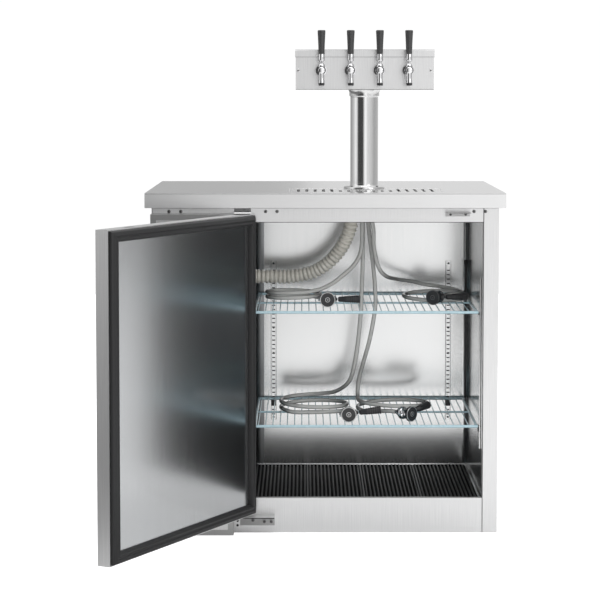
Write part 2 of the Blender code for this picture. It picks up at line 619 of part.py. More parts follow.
def beer_routes():
    """Each line's whole route: tower, drop, coil on its shelf, and the run into its coupler."""
    y = FACE_Y
    up, low = SHELF_Z["upper"] + LINE_D / 2 + 0.0005, SHELF_Z["lower"] + LINE_D / 2 + 0.0005
    layer = LINE_D + 0.0012
    one = line_in_tower(1) + [
        (0.103, y + 0.226, 0.860), (0.1035, y + 0.225, 0.790), (0.100, y + 0.223, 0.735),
        (0.083, y + 0.218, 0.6990), (0.047, y + 0.207, 0.6660), (0.020, y + 0.199, 0.6470),
        (-0.010, y + 0.191, 0.6330), (-0.050, y + 0.184, up + 2.25 * layer),
    ]
    one += coil_turns((-0.085, y + 0.255), (0.073, 0.073), 265, -590, up + 2.1 * layer, up + 0.3 * layer)
    one += [(0.001, y + 0.232, up + 0.006), (0.0075, y + 0.195, up + 0.013), (0.0075, y + 0.1560, 0.6130)]
    two = line_in_tower(2) + [
        (0.104, y + 0.246, 0.860), (0.106, y + 0.245, 0.790), (0.1055, y + 0.240, 0.700),
        (0.1025, y + 0.236, 0.610), (0.101, y + 0.236, 0.570), (0.094, y + 0.240, 0.490),
        (0.084, y + 0.246, 0.420), (0.069, y + 0.275, 0.366), (0.034, y + 0.325, 0.332),
        (-0.004, y + 0.360, low + 2.3 * layer),
    ]
    two += coil_turns((-0.028, y + 0.275), (0.092, 0.092), 100, 500, low + 2.0 * layer, low)
    two += [(0.030, y + 0.186, low + 0.004), (0.0635, y + 0.150, low + 0.014), (0.064, y + 0.1140, 0.3080)]
    three = line_in_tower(3) + [
        (0.119, y + 0.246, 0.860), (0.123, y + 0.247, 0.790), (0.134, y + 0.249, 0.700),
        (0.1405, y + 0.236, 0.620), (0.1395, y + 0.236, 0.570), (0.126, y + 0.243, 0.490),
        (0.110, y + 0.268, 0.425), (0.0995, y + 0.292, 0.380), (0.0945, y + 0.295, 0.348),
        (0.0935, y + 0.279, low + 2.9 * layer),
    ]
    three += coil_turns((0.190, y + 0.270), (0.097, 0.097), 195, 385, low + 2.1 * layer, low)
    three += [(0.130, y + 0.186, low + 0.003), (0.1700, y + 0.1305, low + 0.014)]
    three += [(0.1922, y + 0.1083, 0.3080)]
    four = line_in_tower(4) + [
        (0.119, y + 0.226, 0.860), (0.134, y + 0.226, 0.800), (0.136, y + 0.227, 0.745),
        (0.149, y + 0.232, 0.690), (0.171, y + 0.262, 0.662), (0.205, y + 0.330, 0.647),
        (0.250, y + 0.385, 0.636),
    ]
    middle = (0.309, y + 0.318)
    four += coil_turns(middle, (0.097, 0.0932), 105, -105, up + 2.3 * layer, up + 0.2 * layer)
    four += coil_turns(middle, (0.0932, 0.090), 0, -90, up + 0.2 * layer, up)[1:]
    four += coil_turns(middle, (0.090, 0.080), -90, -270, up, up + 1.2 * layer)[1:]
    four += [(0.387, y + 0.290, up + 0.015), (0.368, y + 0.262, up + 0.016)]
    four += [(0.3387, y + 0.2345, 0.6130), (0.3237, y + 0.2086, 0.6130)]
    return {1: one, 2: two, 3: three, 4: four}


# Each coupler: number, disc centre, the direction its disc faces, and its handle's direction.
COUPLERS = (
    (1, (0.0075, FACE_Y + 0.095, 0.6130), (0, -1, 0), (1.0, 0.0, 0.0)),
    (2, (0.0640, FACE_Y + 0.053, 0.3080), (0, -1, 0), (0.99, 0.0, 0.12)),
    (3, (0.2355, FACE_Y + 0.065, 0.3080), (0.707, -0.707, 0), (0.70, 0.70, 0.16)),
    (4, (0.2925, FACE_Y + 0.155, 0.6130), (-0.5, -0.866, 0), (0.99, 0.14, 0.0)),
)


def make_coupler(number, centre, facing, handle):
    """A keg coupler lying on its side: body, gas barb and a lever on a pivot beside the body."""
    centre, facing, handle = Vector(centre), Vector(facing).normalized(), Vector(handle).normalized()
    tail = -facing
    body = turned(
        f"coupler_{number}",
        [
            (0.0150, 0.0), (0.0205, 0.002), (0.0205, 0.009), (0.0150, 0.011), (0.0150, 0.030), (0.0170, 0.032),
            (0.0170, 0.040), (0.0095, 0.042), (0.0095, 0.052), (0.0050, 0.054), (0.0050, 0.0605),
        ],
        12, CHROME, centre, tail,
    )
    gas_from = centre + tail * 0.022
    outward = -handle
    gas = rod(f"gas_barb_{number}", 0.0055, gas_from, gas_from + outward * 0.026, 8, CHROME)
    pivot = centre + tail * 0.021 + handle * 0.0235
    ear = rod(f"ear_{number}", 0.0038, pivot - handle * 0.012, pivot + handle * 0.0005, 8, CHROME)
    fuse(body, gas, ear)
    start = pivot + handle * 0.0045
    turned(
        f"coupler_handle_{number}",
        [(0.0055, 0.0), (0.0075, 0.004), (0.0075, 0.016), (0.0085, 0.018), (0.0110, 0.058), (0.0100, 0.060)],
        10, BLACK, start, handle,
    )


def make_lines():
    for number, route in beer_routes().items():
        tube(f"beer_line_{number}", smooth_route(route, 2.8 * LINE_D), LINE_D, HOSE)
    for coupler in COUPLERS:
        make_coupler(*coupler)
    y = FACE_Y
    air = [
        (-0.1900, AIR_OUT_Y, AIR_OUT_Z), (-0.150, y + 0.300, 0.658), (-0.095, y + 0.298, 0.658),
        (-0.035, y + 0.290, 0.6700), (0.0080, y + 0.277, 0.6960), (0.0420, y + 0.262, 0.7340),
        (0.0630, y + 0.248, 0.7740), (0.0730, y + 0.240, 0.8080), (0.0760, y + 0.236, 0.8400),
        (0.0765, y + 0.236, 0.8640),
    ]
    tube("air_hose", smooth_route(air, 0.025), AIR_HOSE_D, DUCT, 4)


# ---- Cooling unit


def fins(name, x0, x1, y0, y1, z0, z1, count):
    """A finned coil block: a comb outline extruded upwards."""
    pitch = (x1 - x0) / count
    spine = (y0 + y1) / 2
    outline = [(x0, spine), (x1, spine)]
    for k in reversed(range(count)):
        x = x0 + pitch * (k + 1)
        edge = x - pitch * 0.4
        outline += [(x, y1), (edge, y1), (edge, spine + 0.004), (x - pitch, spine + 0.004)]
    return prism(name, outline, z0, z1, "Z", FIN)


def rotor(name, centre, direction, radius, hub, depth, blades):
    """A fan rotor: a hub with flat pitched blades."""
    centre, direction = Vector(centre), Vector(direction).normalized()
    fan = turned(name, [(hub, -depth / 2), (hub, depth / 2)], 16, BLACK, centre, direction)
    turn = Vector((0, 0, 1)).rotation_difference(direction).to_matrix()
    for k in range(blades):
        low, high = (hub * 0.7, -0.0012, -depth * 0.42), (radius, 0.0012, depth * 0.42)
        blade = block(f"{name}_blade_{k}", low, high)
        blade.location = (0, 0, 0)
        spin = Matrix.Rotation(2 * math.pi * k / blades, 3, "Z") @ Matrix.Rotation(math.radians(50), 3, "X")
        shift = Vector(((hub * 0.7 + radius) / 2, 0, 0))
        placed = turn @ spin
        blade.matrix_world = Matrix.Translation(centre + placed @ shift) @ placed.to_4x4()
        fuse(fan, blade)
    return fan


def make_cooling_unit():
    """The condensing unit at the bottom of the left bay and the evaporator box above it."""
    y = FACE_Y
    compressor = turned(
        "compressor",
        [(0.070, 0.006), (0.078, 0.030), (0.078, 0.130), (0.066, 0.165), (0.040, 0.185), (0.015, 0.190)],
        20, ENAMEL, (-0.350, y + 0.430, 0.0), (0, 0, 1),
    )
    feet = block("compressor_feet", (-0.440, y + 0.350, 0.0033), (-0.260, y + 0.510, 0.0100))
    fuse(compressor, feet)
    fins("condenser_coil", -0.448, -0.252, y + 0.060, y + 0.105, 0.0045, 0.330, 18)
    shroud = block("condenser_shroud", (-0.448, y + 0.112, 0.0045), (-0.252, y + 0.116, 0.330), ZINC)
    fan_at = (-0.350, y + 0.132, 0.180)
    cut(shroud, rod("shroud_hole", 0.080, (-0.350, y + 0.10, 0.180), (-0.350, y + 0.13, 0.180), 24, ZINC))
    bar = block("motor_bar", (-0.445, y + 0.150, 0.170), (-0.255, y + 0.156, 0.190))
    legs = [
        block(f"motor_leg_{n}", (x, y + 0.114, 0.170), (x + 0.006, y + 0.156, 0.190))
        for n, x in enumerate((-0.445, -0.261))
    ]
    motor = rod("motor", 0.024, (-0.350, y + 0.148, 0.180), (-0.350, y + 0.185, 0.180), 16, ZINC)
    fuse(shroud, bar, motor, *legs)
    rotor("condenser_fan", fan_at, (0, 1, 0), 0.074, 0.018, 0.020, 5)
    make_evaporator()


def make_evaporator():
    y = FACE_Y
    outer_x, inner_x = -0.450, PARTITION_X - GAP
    y0, y1, z0, z1 = y + 0.230, y + 0.520, 0.600, 0.830
    wall = 0.020
    housing = block("evaporator_housing", (outer_x, y0, z0), (inner_x, y1, z1), FOAM)
    room = block("housing_room", (outer_x + wall, y0 + wall, z0 + wall), (0, y1 - wall, z1 - wall))
    cut(housing, room)
    fins(
        "evaporator_coil", -0.426, -0.290, y0 + wall + 0.003, y1 - wall - 0.003,
        z0 + wall + GAP, z1 - wall - 0.004, 12,
    )
    rotor("evaporator_fan", (-0.222, EVAP_FAN_Y, EVAP_FAN_Z), (1, 0, 0), 0.048, 0.014, 0.018, 5)
    face = CAVITY_X0 + GAP
    cover = block("evaporator_cover", (face, y + 0.262, 0.630), (face + 0.004, y + 0.490, 0.765), BLACK)

    def across(name, radius, x0, x1, y, z):
        return rod(name, radius, (x0, y, z), (x1, y, z), 16, BLACK)

    spigot = across("air_spigot", 0.0185, face + 0.001, face + 0.0092, AIR_OUT_Y, AIR_OUT_Z)
    boss = across("fan_boss", 0.010, CAVITY_X0 - 0.011, face + 0.002, EVAP_FAN_Y, EVAP_FAN_Z)
    fuse(cover, spigot, boss)
    cut(cover, across("spigot_bore", 0.0160, face - 0.01, face + 0.02, AIR_OUT_Y, AIR_OUT_Z))
    for k in range(-3, 4):
        if k == 0:
            continue
        z = EVAP_FAN_Z + 0.0165 * k
        low, high = (face - 0.01, EVAP_FAN_Y - 0.040, z - 0.003), (face + 0.02, EVAP_FAN_Y + 0.040, z + 0.003)
        cut(cover, block(f"cover_slot_{k + 3}", low, high))


make_shell()
make_cold_box()
make_top()
make_grille_panel()
make_hinges()
make_lock_strike()
for level, height in SHELF_Z.items():
    make_shelf(level, height)
make_standards()
make_floor_rack()
make_door()
make_tower()
make_lines()
make_cooling_unit()
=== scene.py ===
"""The finished look of the four-tap kegerator: its materials, hoses, fittings and studio."""

import json
import math

import bmesh
import bpy
from mathutils import Matrix, Vector

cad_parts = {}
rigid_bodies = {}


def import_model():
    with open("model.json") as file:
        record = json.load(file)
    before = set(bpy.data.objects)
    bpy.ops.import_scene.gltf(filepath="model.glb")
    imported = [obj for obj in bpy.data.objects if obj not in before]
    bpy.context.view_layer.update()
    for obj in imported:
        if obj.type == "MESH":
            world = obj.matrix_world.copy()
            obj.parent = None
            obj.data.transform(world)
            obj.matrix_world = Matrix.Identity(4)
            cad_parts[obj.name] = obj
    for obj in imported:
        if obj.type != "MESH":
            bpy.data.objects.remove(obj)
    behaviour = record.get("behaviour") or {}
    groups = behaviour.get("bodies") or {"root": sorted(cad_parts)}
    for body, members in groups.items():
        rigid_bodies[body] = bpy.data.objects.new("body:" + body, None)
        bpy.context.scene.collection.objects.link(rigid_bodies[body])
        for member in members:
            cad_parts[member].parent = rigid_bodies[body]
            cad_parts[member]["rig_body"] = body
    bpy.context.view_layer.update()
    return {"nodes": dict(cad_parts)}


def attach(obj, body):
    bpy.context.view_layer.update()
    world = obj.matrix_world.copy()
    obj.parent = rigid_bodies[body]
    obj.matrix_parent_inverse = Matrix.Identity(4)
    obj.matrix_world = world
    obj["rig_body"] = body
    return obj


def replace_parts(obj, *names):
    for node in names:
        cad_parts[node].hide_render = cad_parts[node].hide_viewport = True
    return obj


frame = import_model()

FACE_Y = -0.330
CAVITY_X0, CAVITY_X1, CAVITY_BACK = -0.200, 0.418, FACE_Y + 0.528
CAVITY_Z0 = 0.080
TOWER_X, TOWER_Y = 0.109, FACE_Y + 0.236
BOX_FRONT_Y = TOWER_Y - 0.045
TAP_PITCH, TAP_Z = 0.0786, 1.229
TAP_PIVOT_Y, TAP_PIVOT_Z = FACE_Y + 0.150, 1.240
SHELF_Z = {"upper": 0.5915, "lower": 0.2865}
LINE_D, AIR_HOSE_D = 0.011, 0.040
DOOR_X0, DOOR_X1, DOOR_Z0, DOOR_Z1 = -0.236, 0.458, 0.055, 0.852
DOOR_INNER_Y = FACE_Y - 0.014
HINGE = Vector((-0.215, FACE_Y - 0.034, 0.0))
DOOR_OPEN = math.radians(-118.0)
RAIL_Z0, BODY_TOP_Z, CEILING_Z = 0.8278, 0.8660, 0.8270
REAR_Y = 0.3298
FRONT, UP = (0, -1, 0), (0, 0, 1)
# Faces that meet at more than this many degrees keep a sharp edge in a refined sheet piece.
FLAT = 20.0


# ---- Materials


def shader(name, colour, roughness, metallic=0.0, **sockets):
    """A plain Principled material; sockets are its other inputs, with _ for each space."""
    made = bpy.data.materials.new(name)
    made.use_nodes = True
    principled = made.node_tree.nodes["Principled BSDF"]
    principled.inputs["Base Color"].default_value = (*colour, 1.0)
    principled.inputs["Roughness"].default_value = roughness
    principled.inputs["Metallic"].default_value = metallic
    for socket, value in sockets.items():
        principled.inputs[socket.replace("_", " ")].default_value = value
    return made


def grain(made, stretch, scale, roughness=None, tones=None, bump=0.0, depth=0.0005, detail=4.0):
    """Adds stretched noise to a material: it varies roughness and tone, and raises a fine bump."""
    tree = made.node_tree
    principled = tree.nodes["Principled BSDF"]
    coords = tree.nodes.new("ShaderNodeTexCoord")
    mapping = tree.nodes.new("ShaderNodeMapping")
    mapping.inputs["Scale"].default_value = stretch
    noise = tree.nodes.new("ShaderNodeTexNoise")
    noise.inputs["Scale"].default_value = scale
    noise.inputs["Detail"].default_value = detail
    tree.links.new(coords.outputs["Object"], mapping.inputs["Vector"])
    tree.links.new(mapping.outputs["Vector"], noise.inputs["Vector"])
    if roughness:
        spread = tree.nodes.new("ShaderNodeMapRange")
        spread.inputs["To Min"].default_value, spread.inputs["To Max"].default_value = roughness
        tree.links.new(noise.outputs["Fac"], spread.inputs["Value"])
        tree.links.new(spread.outputs["Result"], principled.inputs["Roughness"])
    if tones:
        ramp = tree.nodes.new("ShaderNodeValToRGB")
        ramp.color_ramp.elements[0].position, ramp.color_ramp.elements[1].position = 0.3, 0.7
        ramp.color_ramp.elements[0].color = (*tones[0], 1.0)
        ramp.color_ramp.elements[1].color = (*tones[1], 1.0)
        tree.links.new(noise.outputs["Fac"], ramp.inputs["Fac"])
        tree.links.new(ramp.outputs["Color"], principled.inputs["Base Color"])
    if bump:
        height = tree.nodes.new("ShaderNodeBump")
        height.inputs["Strength"].default_value = bump
        height.inputs["Distance"].default_value = depth
        tree.links.new(noise.outputs["Fac"], height.inputs["Height"])
        tree.links.new(height.outputs["Normal"], principled.inputs["Normal"])
    return made


def paint_rim_shade(made, centre, edge):
    """Paints shade and highlight on a round piece: its colour darkens towards the outline as seen from the
    view, and is lightest where it faces the view.
    """
    tree = made.node_tree
    facing = tree.nodes.new("ShaderNodeLayerWeight")
    facing.inputs["Blend"].default_value = 0.5
    ramp = tree.nodes.new("ShaderNodeValToRGB")
    ramp.color_ramp.elements[0].position, ramp.color_ramp.elements[1].position = 0.25, 0.80
    ramp.color_ramp.elements[0].color = (*centre, 1.0)
    ramp.color_ramp.elements[1].color = (*edge, 1.0)
    tree.links.new(facing.outputs["Facing"], ramp.inputs["Fac"])
    tree.links.new(ramp.outputs["Color"], tree.nodes["Principled BSDF"].inputs["Base Color"])
    return made


UPRIGHT_GRAIN, LEVEL_GRAIN = (1.0, 1.0, 0.012), (0.012, 1.0, 1.0)
PANEL = grain(shader("brushed panel", (0.80, 0.80, 0.80), 0.32, 1.0), UPRIGHT_GRAIN, 900, (0.26, 0.38),
              ((0.74, 0.74, 0.745), (0.84, 0.84, 0.84)), 0.06, 0.0002)
TOP = grain(shader("brushed worktop", (0.80, 0.80, 0.80), 0.24, 1.0), LEVEL_GRAIN, 900, (0.20, 0.28),
            ((0.77, 0.77, 0.775), (0.83, 0.83, 0.83)), 0.03, 0.0002)
LINER = grain(shader("cold room liner", (0.80, 0.81, 0.81), 0.17, 1.0), UPRIGHT_GRAIN, 500, (0.13, 0.21),
              ((0.79, 0.80, 0.80), (0.84, 0.84, 0.84)), 0.03, 0.0002)
# Painted shade: a dark copy of the liner steel for the left wall and the left back corner, where the lining
# lies in shade.
LINER_PAINTED_SHADE = grain(shader("cold room liner, hinge side", (0.22, 0.225, 0.23), 0.3, 1.0), UPRIGHT_GRAIN, 500,
                    (0.26, 0.34), ((0.20, 0.205, 0.21), (0.25, 0.255, 0.26)), 0.03, 0.0002)
DOOR_LINER = grain(shader("door liner", (0.58, 0.59, 0.60), 0.20, 1.0), UPRIGHT_GRAIN, 500, (0.17, 0.23),
                   ((0.56, 0.57, 0.58), (0.62, 0.63, 0.64)), 0.03, 0.0002)
BRACKET = shader("bracket", (0.62, 0.62, 0.62), 0.55, 0.35)
# Painted shade: a darker copy of the panel steel for the grille panel, where the open door shades it; the
# panel's field stays bright.
PANEL_PAINTED_SHADE = grain(shader("grille panel, painted shade", (0.42, 0.42, 0.42), 0.34, 1.0), UPRIGHT_GRAIN, 900, (0.30, 0.38),
                   ((0.40, 0.40, 0.40), (0.46, 0.46, 0.46)), 0.06, 0.0002)
COLUMN = grain(shader("brushed column", (0.74, 0.74, 0.74), 0.11, 1.0), (1.0, 1.0, 0.02), 1200, (0.09, 0.14),
               ((0.70, 0.70, 0.70), (0.80, 0.80, 0.80)), 0.04, 0.0002)
STEEL = grain(shader("plain steel", (0.70, 0.70, 0.70), 0.30, 1.0), (1, 1, 1), 300, (0.24, 0.40),
              ((0.66, 0.66, 0.66), (0.76, 0.76, 0.76)))
BRIGHT = grain(shader("bright zinc strip", (0.92, 0.92, 0.92), 0.38, 0.6), (1, 1, 1), 300, (0.34, 0.44),
               ((0.88, 0.88, 0.88), (0.95, 0.95, 0.95)))
SLOT_WALL = grain(shader("satin slot wall", (0.80, 0.80, 0.80), 0.5, 0.2), (1, 1, 1), 300, (0.45, 0.55),
                  ((0.76, 0.76, 0.76), (0.84, 0.84, 0.84)))
SCREW = grain(shader("dark screw", (0.22, 0.22, 0.22), 0.35, 1.0), (1, 1, 1), 300, (0.3, 0.42),
              ((0.18, 0.18, 0.18), (0.26, 0.26, 0.26)))
CHROME = grain(shader("polished chrome", (0.80, 0.80, 0.81), 0.08, 1.0), (1, 1, 1), 120, (0.05, 0.10))
# Painted reflection: the chrome's colour is bright where it faces the view and dark towards the outline.
paint_rim_shade(CHROME, (0.84, 0.84, 0.85), (0.16, 0.16, 0.17))
ZINC = grain(shader("galvanised sheet", (0.55, 0.56, 0.57), 0.45, 1.0), (1, 1, 1), 60, (0.38, 0.55),
             ((0.46, 0.48, 0.50), (0.66, 0.67, 0.68)), detail=1.0)
FOAM = grain(shader("rigid foam", (0.85, 0.78, 0.55), 0.9), (1, 1, 1), 350, None,
             ((0.80, 0.72, 0.48), (0.90, 0.84, 0.62)), 0.4)
BLACK = grain(shader("moulded black", (0.022, 0.022, 0.024), 0.35, Coat_Weight=0.25, Coat_Roughness=0.2),
              (1, 1, 1), 700, (0.30, 0.45), ((0.016, 0.016, 0.018), (0.030, 0.030, 0.032)), 0.1)
GRIP = grain(shader("tap handle resin", (0.055, 0.055, 0.056), 0.4), (1, 1, 1), 600, (0.35, 0.48),
             ((0.048, 0.048, 0.049), (0.064, 0.064, 0.065)), 0.05)
# Painted highlight: a lighter copy of the gasket rubber for the faces of its ridges.
RIDGE_PAINTED_HIGHLIGHT = grain(shader("gasket ridge, painted highlight", (0.10, 0.10, 0.10), 0.5), (1, 1, 1), 500, (0.45, 0.55),
              ((0.09, 0.09, 0.09), (0.12, 0.12, 0.12)))
RUBBER = grain(shader("gasket rubber", (0.014, 0.014, 0.015), 0.55), (1, 1, 1), 500, (0.5, 0.65),
               ((0.010, 0.010, 0.011), (0.020, 0.020, 0.021)), 0.15)
MAT_BLACK = grain(shader("floor rack plastic", (0.006, 0.006, 0.006), 0.7, Specular_IOR_Level=0.1),
                  (1, 1, 1), 400, (0.6, 0.8), ((0.004, 0.004, 0.004), (0.009, 0.009, 0.009)))
# Painted light: a lighter copy of the rack's black plastic, for the light on the rib tops.
RIB_PAINTED_LIGHT = grain(shader("rack rib, painted light", (0.05, 0.05, 0.05), 0.5, Specular_IOR_Level=0.3), (1, 1, 1), 400, (0.45, 0.6),
            ((0.04, 0.04, 0.04), (0.06, 0.06, 0.06)), 0.1)
SEAM = grain(shader("rack seam", (0.08, 0.08, 0.08), 0.5), (1, 1, 1), 300, (0.4, 0.6),
             ((0.07, 0.07, 0.07), (0.10, 0.10, 0.10)))
COATED = grain(shader("pale blue coating", (0.52, 0.72, 0.80), 0.25, Coat_Weight=0.5, Coat_Roughness=0.1),
               (1, 1, 1), 250, (0.20, 0.32), ((0.46, 0.68, 0.77), (0.58, 0.77, 0.84)))
HOSE = grain(shader("beer line vinyl", (0.66, 0.66, 0.64), 0.12, Transmission_Weight=0.25, IOR=1.40),
             (1, 1, 1), 120, (0.09, 0.16))
# Painted shade and highlight: the hose is dark along its outline and bright along its middle.
paint_rim_shade(HOSE, (0.78, 0.78, 0.76), (0.07, 0.07, 0.07))
DUCT = grain(shader("ribbed duct plastic", (0.78, 0.75, 0.68), 0.25, Coat_Weight=0.4, Coat_Roughness=0.1),
             (1, 1, 1), 120, (0.20, 0.32), ((0.72, 0.69, 0.62), (0.84, 0.81, 0.74)), 0.1)
ENAMEL = grain(shader("black enamel", (0.02, 0.02, 0.02), 0.25, Coat_Weight=0.4), (1, 1, 1), 200, (0.2, 0.35),
               ((0.015, 0.015, 0.016), (0.028, 0.028, 0.03)), 0.05)
FINS = grain(shader("coil fins", (0.70, 0.70, 0.68), 0.4, 1.0), (1, 1, 1), 200, (0.32, 0.5),
             ((0.60, 0.60, 0.58), (0.76, 0.76, 0.75)))
DARK = grain(shader("dark slot", (0.03, 0.03, 0.03), 0.6), (1, 1, 1), 200, (0.5, 0.7),
             ((0.02, 0.02, 0.02), (0.045, 0.045, 0.045)))


# ---- Building tools


def add_object(name, data, mat, body="root", smooth=40.0):
    """Links a mesh or curve that rides on a body. Faces less than smooth degrees apart shade as one."""
    data.materials.clear()
    data.materials.append(mat)
    if smooth and isinstance(data, bpy.types.Mesh):
        data.shade_smooth()
        data.set_sharp_from_angle(angle=math.radians(smooth))
    made = bpy.data.objects.new(name, data)
    bpy.context.scene.collection.objects.link(made)
    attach(made, body)
    return made


def mesh_from(bm, name):
    """Turns a bmesh into mesh data with its normals outwards, and frees it."""
    bmesh.ops.recalc_face_normals(bm, faces=bm.faces)
    data = bpy.data.meshes.new(name)
    bm.to_mesh(data)
    bm.free()
    return data


def add_box(bm, low, high, bevel=0.0):
    """A box in a bmesh, its edges rounded."""
    low, high = Vector(low), Vector(high)
    made = bmesh.ops.create_cube(bm, size=1.0)
    for v in made["verts"]:
        v.co = Vector((low[i] + (v.co[i] + 0.5) * (high[i] - low[i]) for i in range(3)))
    if bevel:
        edges = list({e for v in made["verts"] for e in v.link_edges})
        bmesh.ops.bevel(bm, geom=edges, offset=bevel, segments=2, affect="EDGES", profile=0.5)


def add_lathe(bm, profile, origin, direction=(0, 0, 1), sides=40):
    """A turned shape in a bmesh: (radius, distance) pairs about the axis, closed at both ends."""
    turn = Vector((0, 0, 1)).rotation_difference(Vector(direction).normalized())
    origin = Vector(origin)
    rings = []
    for radius, along in profile:
        ring = []
        for k in range(sides):
            angle = 2 * math.pi * k / sides
            place = Vector((radius * math.cos(angle), radius * math.sin(angle), along))
            ring.append(bm.verts.new(origin + turn @ place))
        rings.append(ring)
    for here, there in zip(rings, rings[1:]):
        for k in range(sides):
            n = (k + 1) % sides
            bm.faces.new((here[k], here[n], there[n], there[k]))
    bm.faces.new(list(reversed(rings[0])))
    bm.faces.new(rings[-1])


def add_rod(bm, start, end, radius, sides):
    start, end = Vector(start), Vector(end)
    add_lathe(bm, [(radius, 0.0), (radius, (end - start).length)], start, end - start, sides)


def lathe(name, profile, origin, direction, mat, body="root", sides=48):
    """A turned shape as an object of its own."""
    bm = bmesh.new()
    add_lathe(bm, profile, origin, direction, sides)
    return add_object(name, mesh_from(bm, name), mat, body)


def refined(node, mat, bevel):
    """The CAD node's own shape with its edges rounded, standing in for the node."""
    bm = bmesh.new()
    bm.from_mesh(frame["nodes"][node].data)
    bmesh.ops.remove_doubles(bm, verts=bm.verts, dist=2e-5)
    bmesh.ops.dissolve_limit(bm, angle_limit=math.radians(1.0), verts=bm.verts, edges=bm.edges)
    sharp = [e for e in bm.edges if len(e.link_faces) == 2 and e.calc_face_angle(0.0) > math.radians(30)]
    bmesh.ops.bevel(bm, geom=sharp, offset=bevel, segments=2, affect="EDGES", clamp_overlap=True)
    made = add_object(f"{node}_look", mesh_from(bm, node), mat, frame["nodes"][node]["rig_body"], FLAT)
    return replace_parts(made, node)


def finish_node(node, mat):
    """The CAD node shown as it is, with its material."""
    shown = frame["nodes"][node]
    shown.data.materials.clear()
    shown.data.materials.append(mat)


# ---- Cabinet


for node in ("side_panel_right", "side_panel_left", "top_rail", "bottom_rail", "centre_stile"):
    refined(node, PANEL, 0.0009 if node.startswith("side") else 0.0012)
# Painted shade: the grille panel takes the darker copy of the panel steel.
refined("grille_panel", PANEL_PAINTED_SHADE, 0.0012)
finish_node("worktop", TOP)
refined("drip_tray", BRIGHT, 0.0004)
grid = refined("drip_grid", TOP, 0.0005)
grid.data.materials.append(SLOT_WALL)
for face in grid.data.polygons:
    if abs(face.normal.z) < 0.3:
        face.material_index = 1
refined("rear_panel", ZINC, 0.0004)
refined("base_frame", ZINC, 0.0010)
finish_node("foam_insulation", FOAM)
finish_node("inner_liner", LINER)
lining = frame["nodes"]["inner_liner"].data
# Painted shade: the left wall's faces take the dark copy of the liner.
lining.materials.append(LINER_PAINTED_SHADE)
for face in lining.polygons:
    if face.normal.x > 0.9 and face.center.x < CAVITY_X0 + 0.002:
        face.material_index = 1
for node in ("hinge_top", "hinge_bottom", "lock_strike"):
    refined(node, PANEL if node == "hinge_top" else BRACKET, 0.0003)
# Painted shade: thin dark strips along the edges of the two hinge brackets and the lock strike stand for the
# shade on them.
bm = bmesh.new()
add_box(bm, (-0.2258, FACE_Y - 0.0494, 0.0474), (-0.1342, FACE_Y - 0.0488, 0.0501))
add_box(bm, (-0.2398, FACE_Y - 0.0494, 0.8523), (-0.1962, FACE_Y - 0.0488, 0.8551))
add_box(bm, (0.3172, FACE_Y - 0.0424, 0.8548), (0.3808, FACE_Y - 0.0418, 0.8562))
add_object("bracket_painted_shade", mesh_from(bm, "bracket_painted_shade"), DARK)


def screw(name, place, direction, radius=0.0042, mat=SCREW):
    """A pan-head screw with a cross recess, the recess drawn as thin dark bars of painted shade."""
    bm = bmesh.new()
    dome = [(1, 0.0), (1, 0.0006), (0.92, 0.0014), (0.7, 0.0021), (0.3, 0.0024)]
    add_lathe(bm, [(radius * part, along) for part, along in dome], place, direction, 24)
    add_object(name, mesh_from(bm, name), mat)
    # Painted shade: the cross recess is two thin dark bars on the crown.
    bm = bmesh.new()
    turn = Vector((0, 0, 1)).rotation_difference(Vector(direction).normalized()).to_matrix().to_4x4()
    crown, thick = 0.00242, 0.0001
    for wide, narrow in ((0.6 * radius, 0.12 * radius), (0.12 * radius, 0.6 * radius)):
        add_box(bm, (-wide, -narrow, crown), (wide, narrow, crown + thick))
    bmesh.ops.transform(bm, matrix=Matrix.Translation(Vector(place)) @ turn, verts=bm.verts)
    add_object(f"{name}_cross", mesh_from(bm, f"{name}_cross"), DARK)


def add_seams():
    """The dark joints between the front's sheets, and the raised field of the bay's panel."""
    bm = bmesh.new()
    add_box(bm, (-0.4570, FACE_Y - 0.0008, 0.8652), (0.4575, FACE_Y + 0.0010, 0.8668))
    add_box(bm, (CAVITY_X0, FACE_Y - 0.0003, RAIL_Z0), (CAVITY_X1, FACE_Y + 0.0010, RAIL_Z0 + 0.0014))
    add_box(bm, (CAVITY_X1 - 0.0002, FACE_Y - 0.0003, 0.0), (CAVITY_X1 + 0.0006, FACE_Y + 0.0010, BODY_TOP_Z))
    add_box(bm, (CAVITY_X0 - 0.0403, FACE_Y - 0.0003, 0.0950), (CAVITY_X1, FACE_Y + 0.0010, 0.0958))
    add_object("front_seams", mesh_from(bm, "front_seams"), DARK)
    bm = bmesh.new()
    # Painted reflection: a thin dark line along the worktop's front top edge, for the dark reflection on its
    # bend.
    add_box(bm, (-0.4734, FACE_Y - 0.0203, 0.9036), (0.4734, FACE_Y - 0.0197, 0.9046))
    add_object("worktop_painted_reflection", mesh_from(bm, "worktop_painted_reflection"), SCREW)
    bm = bmesh.new()
    for low, high in ((0.0180, 0.0860), (0.4320, 0.8370)):
        add_box(bm, (-0.4430, FACE_Y - 0.0496, low), (-0.2570, FACE_Y - 0.0486, high), 0.0004)
    add_object("grille_field", mesh_from(bm, "grille_field"), PANEL, smooth=FLAT)


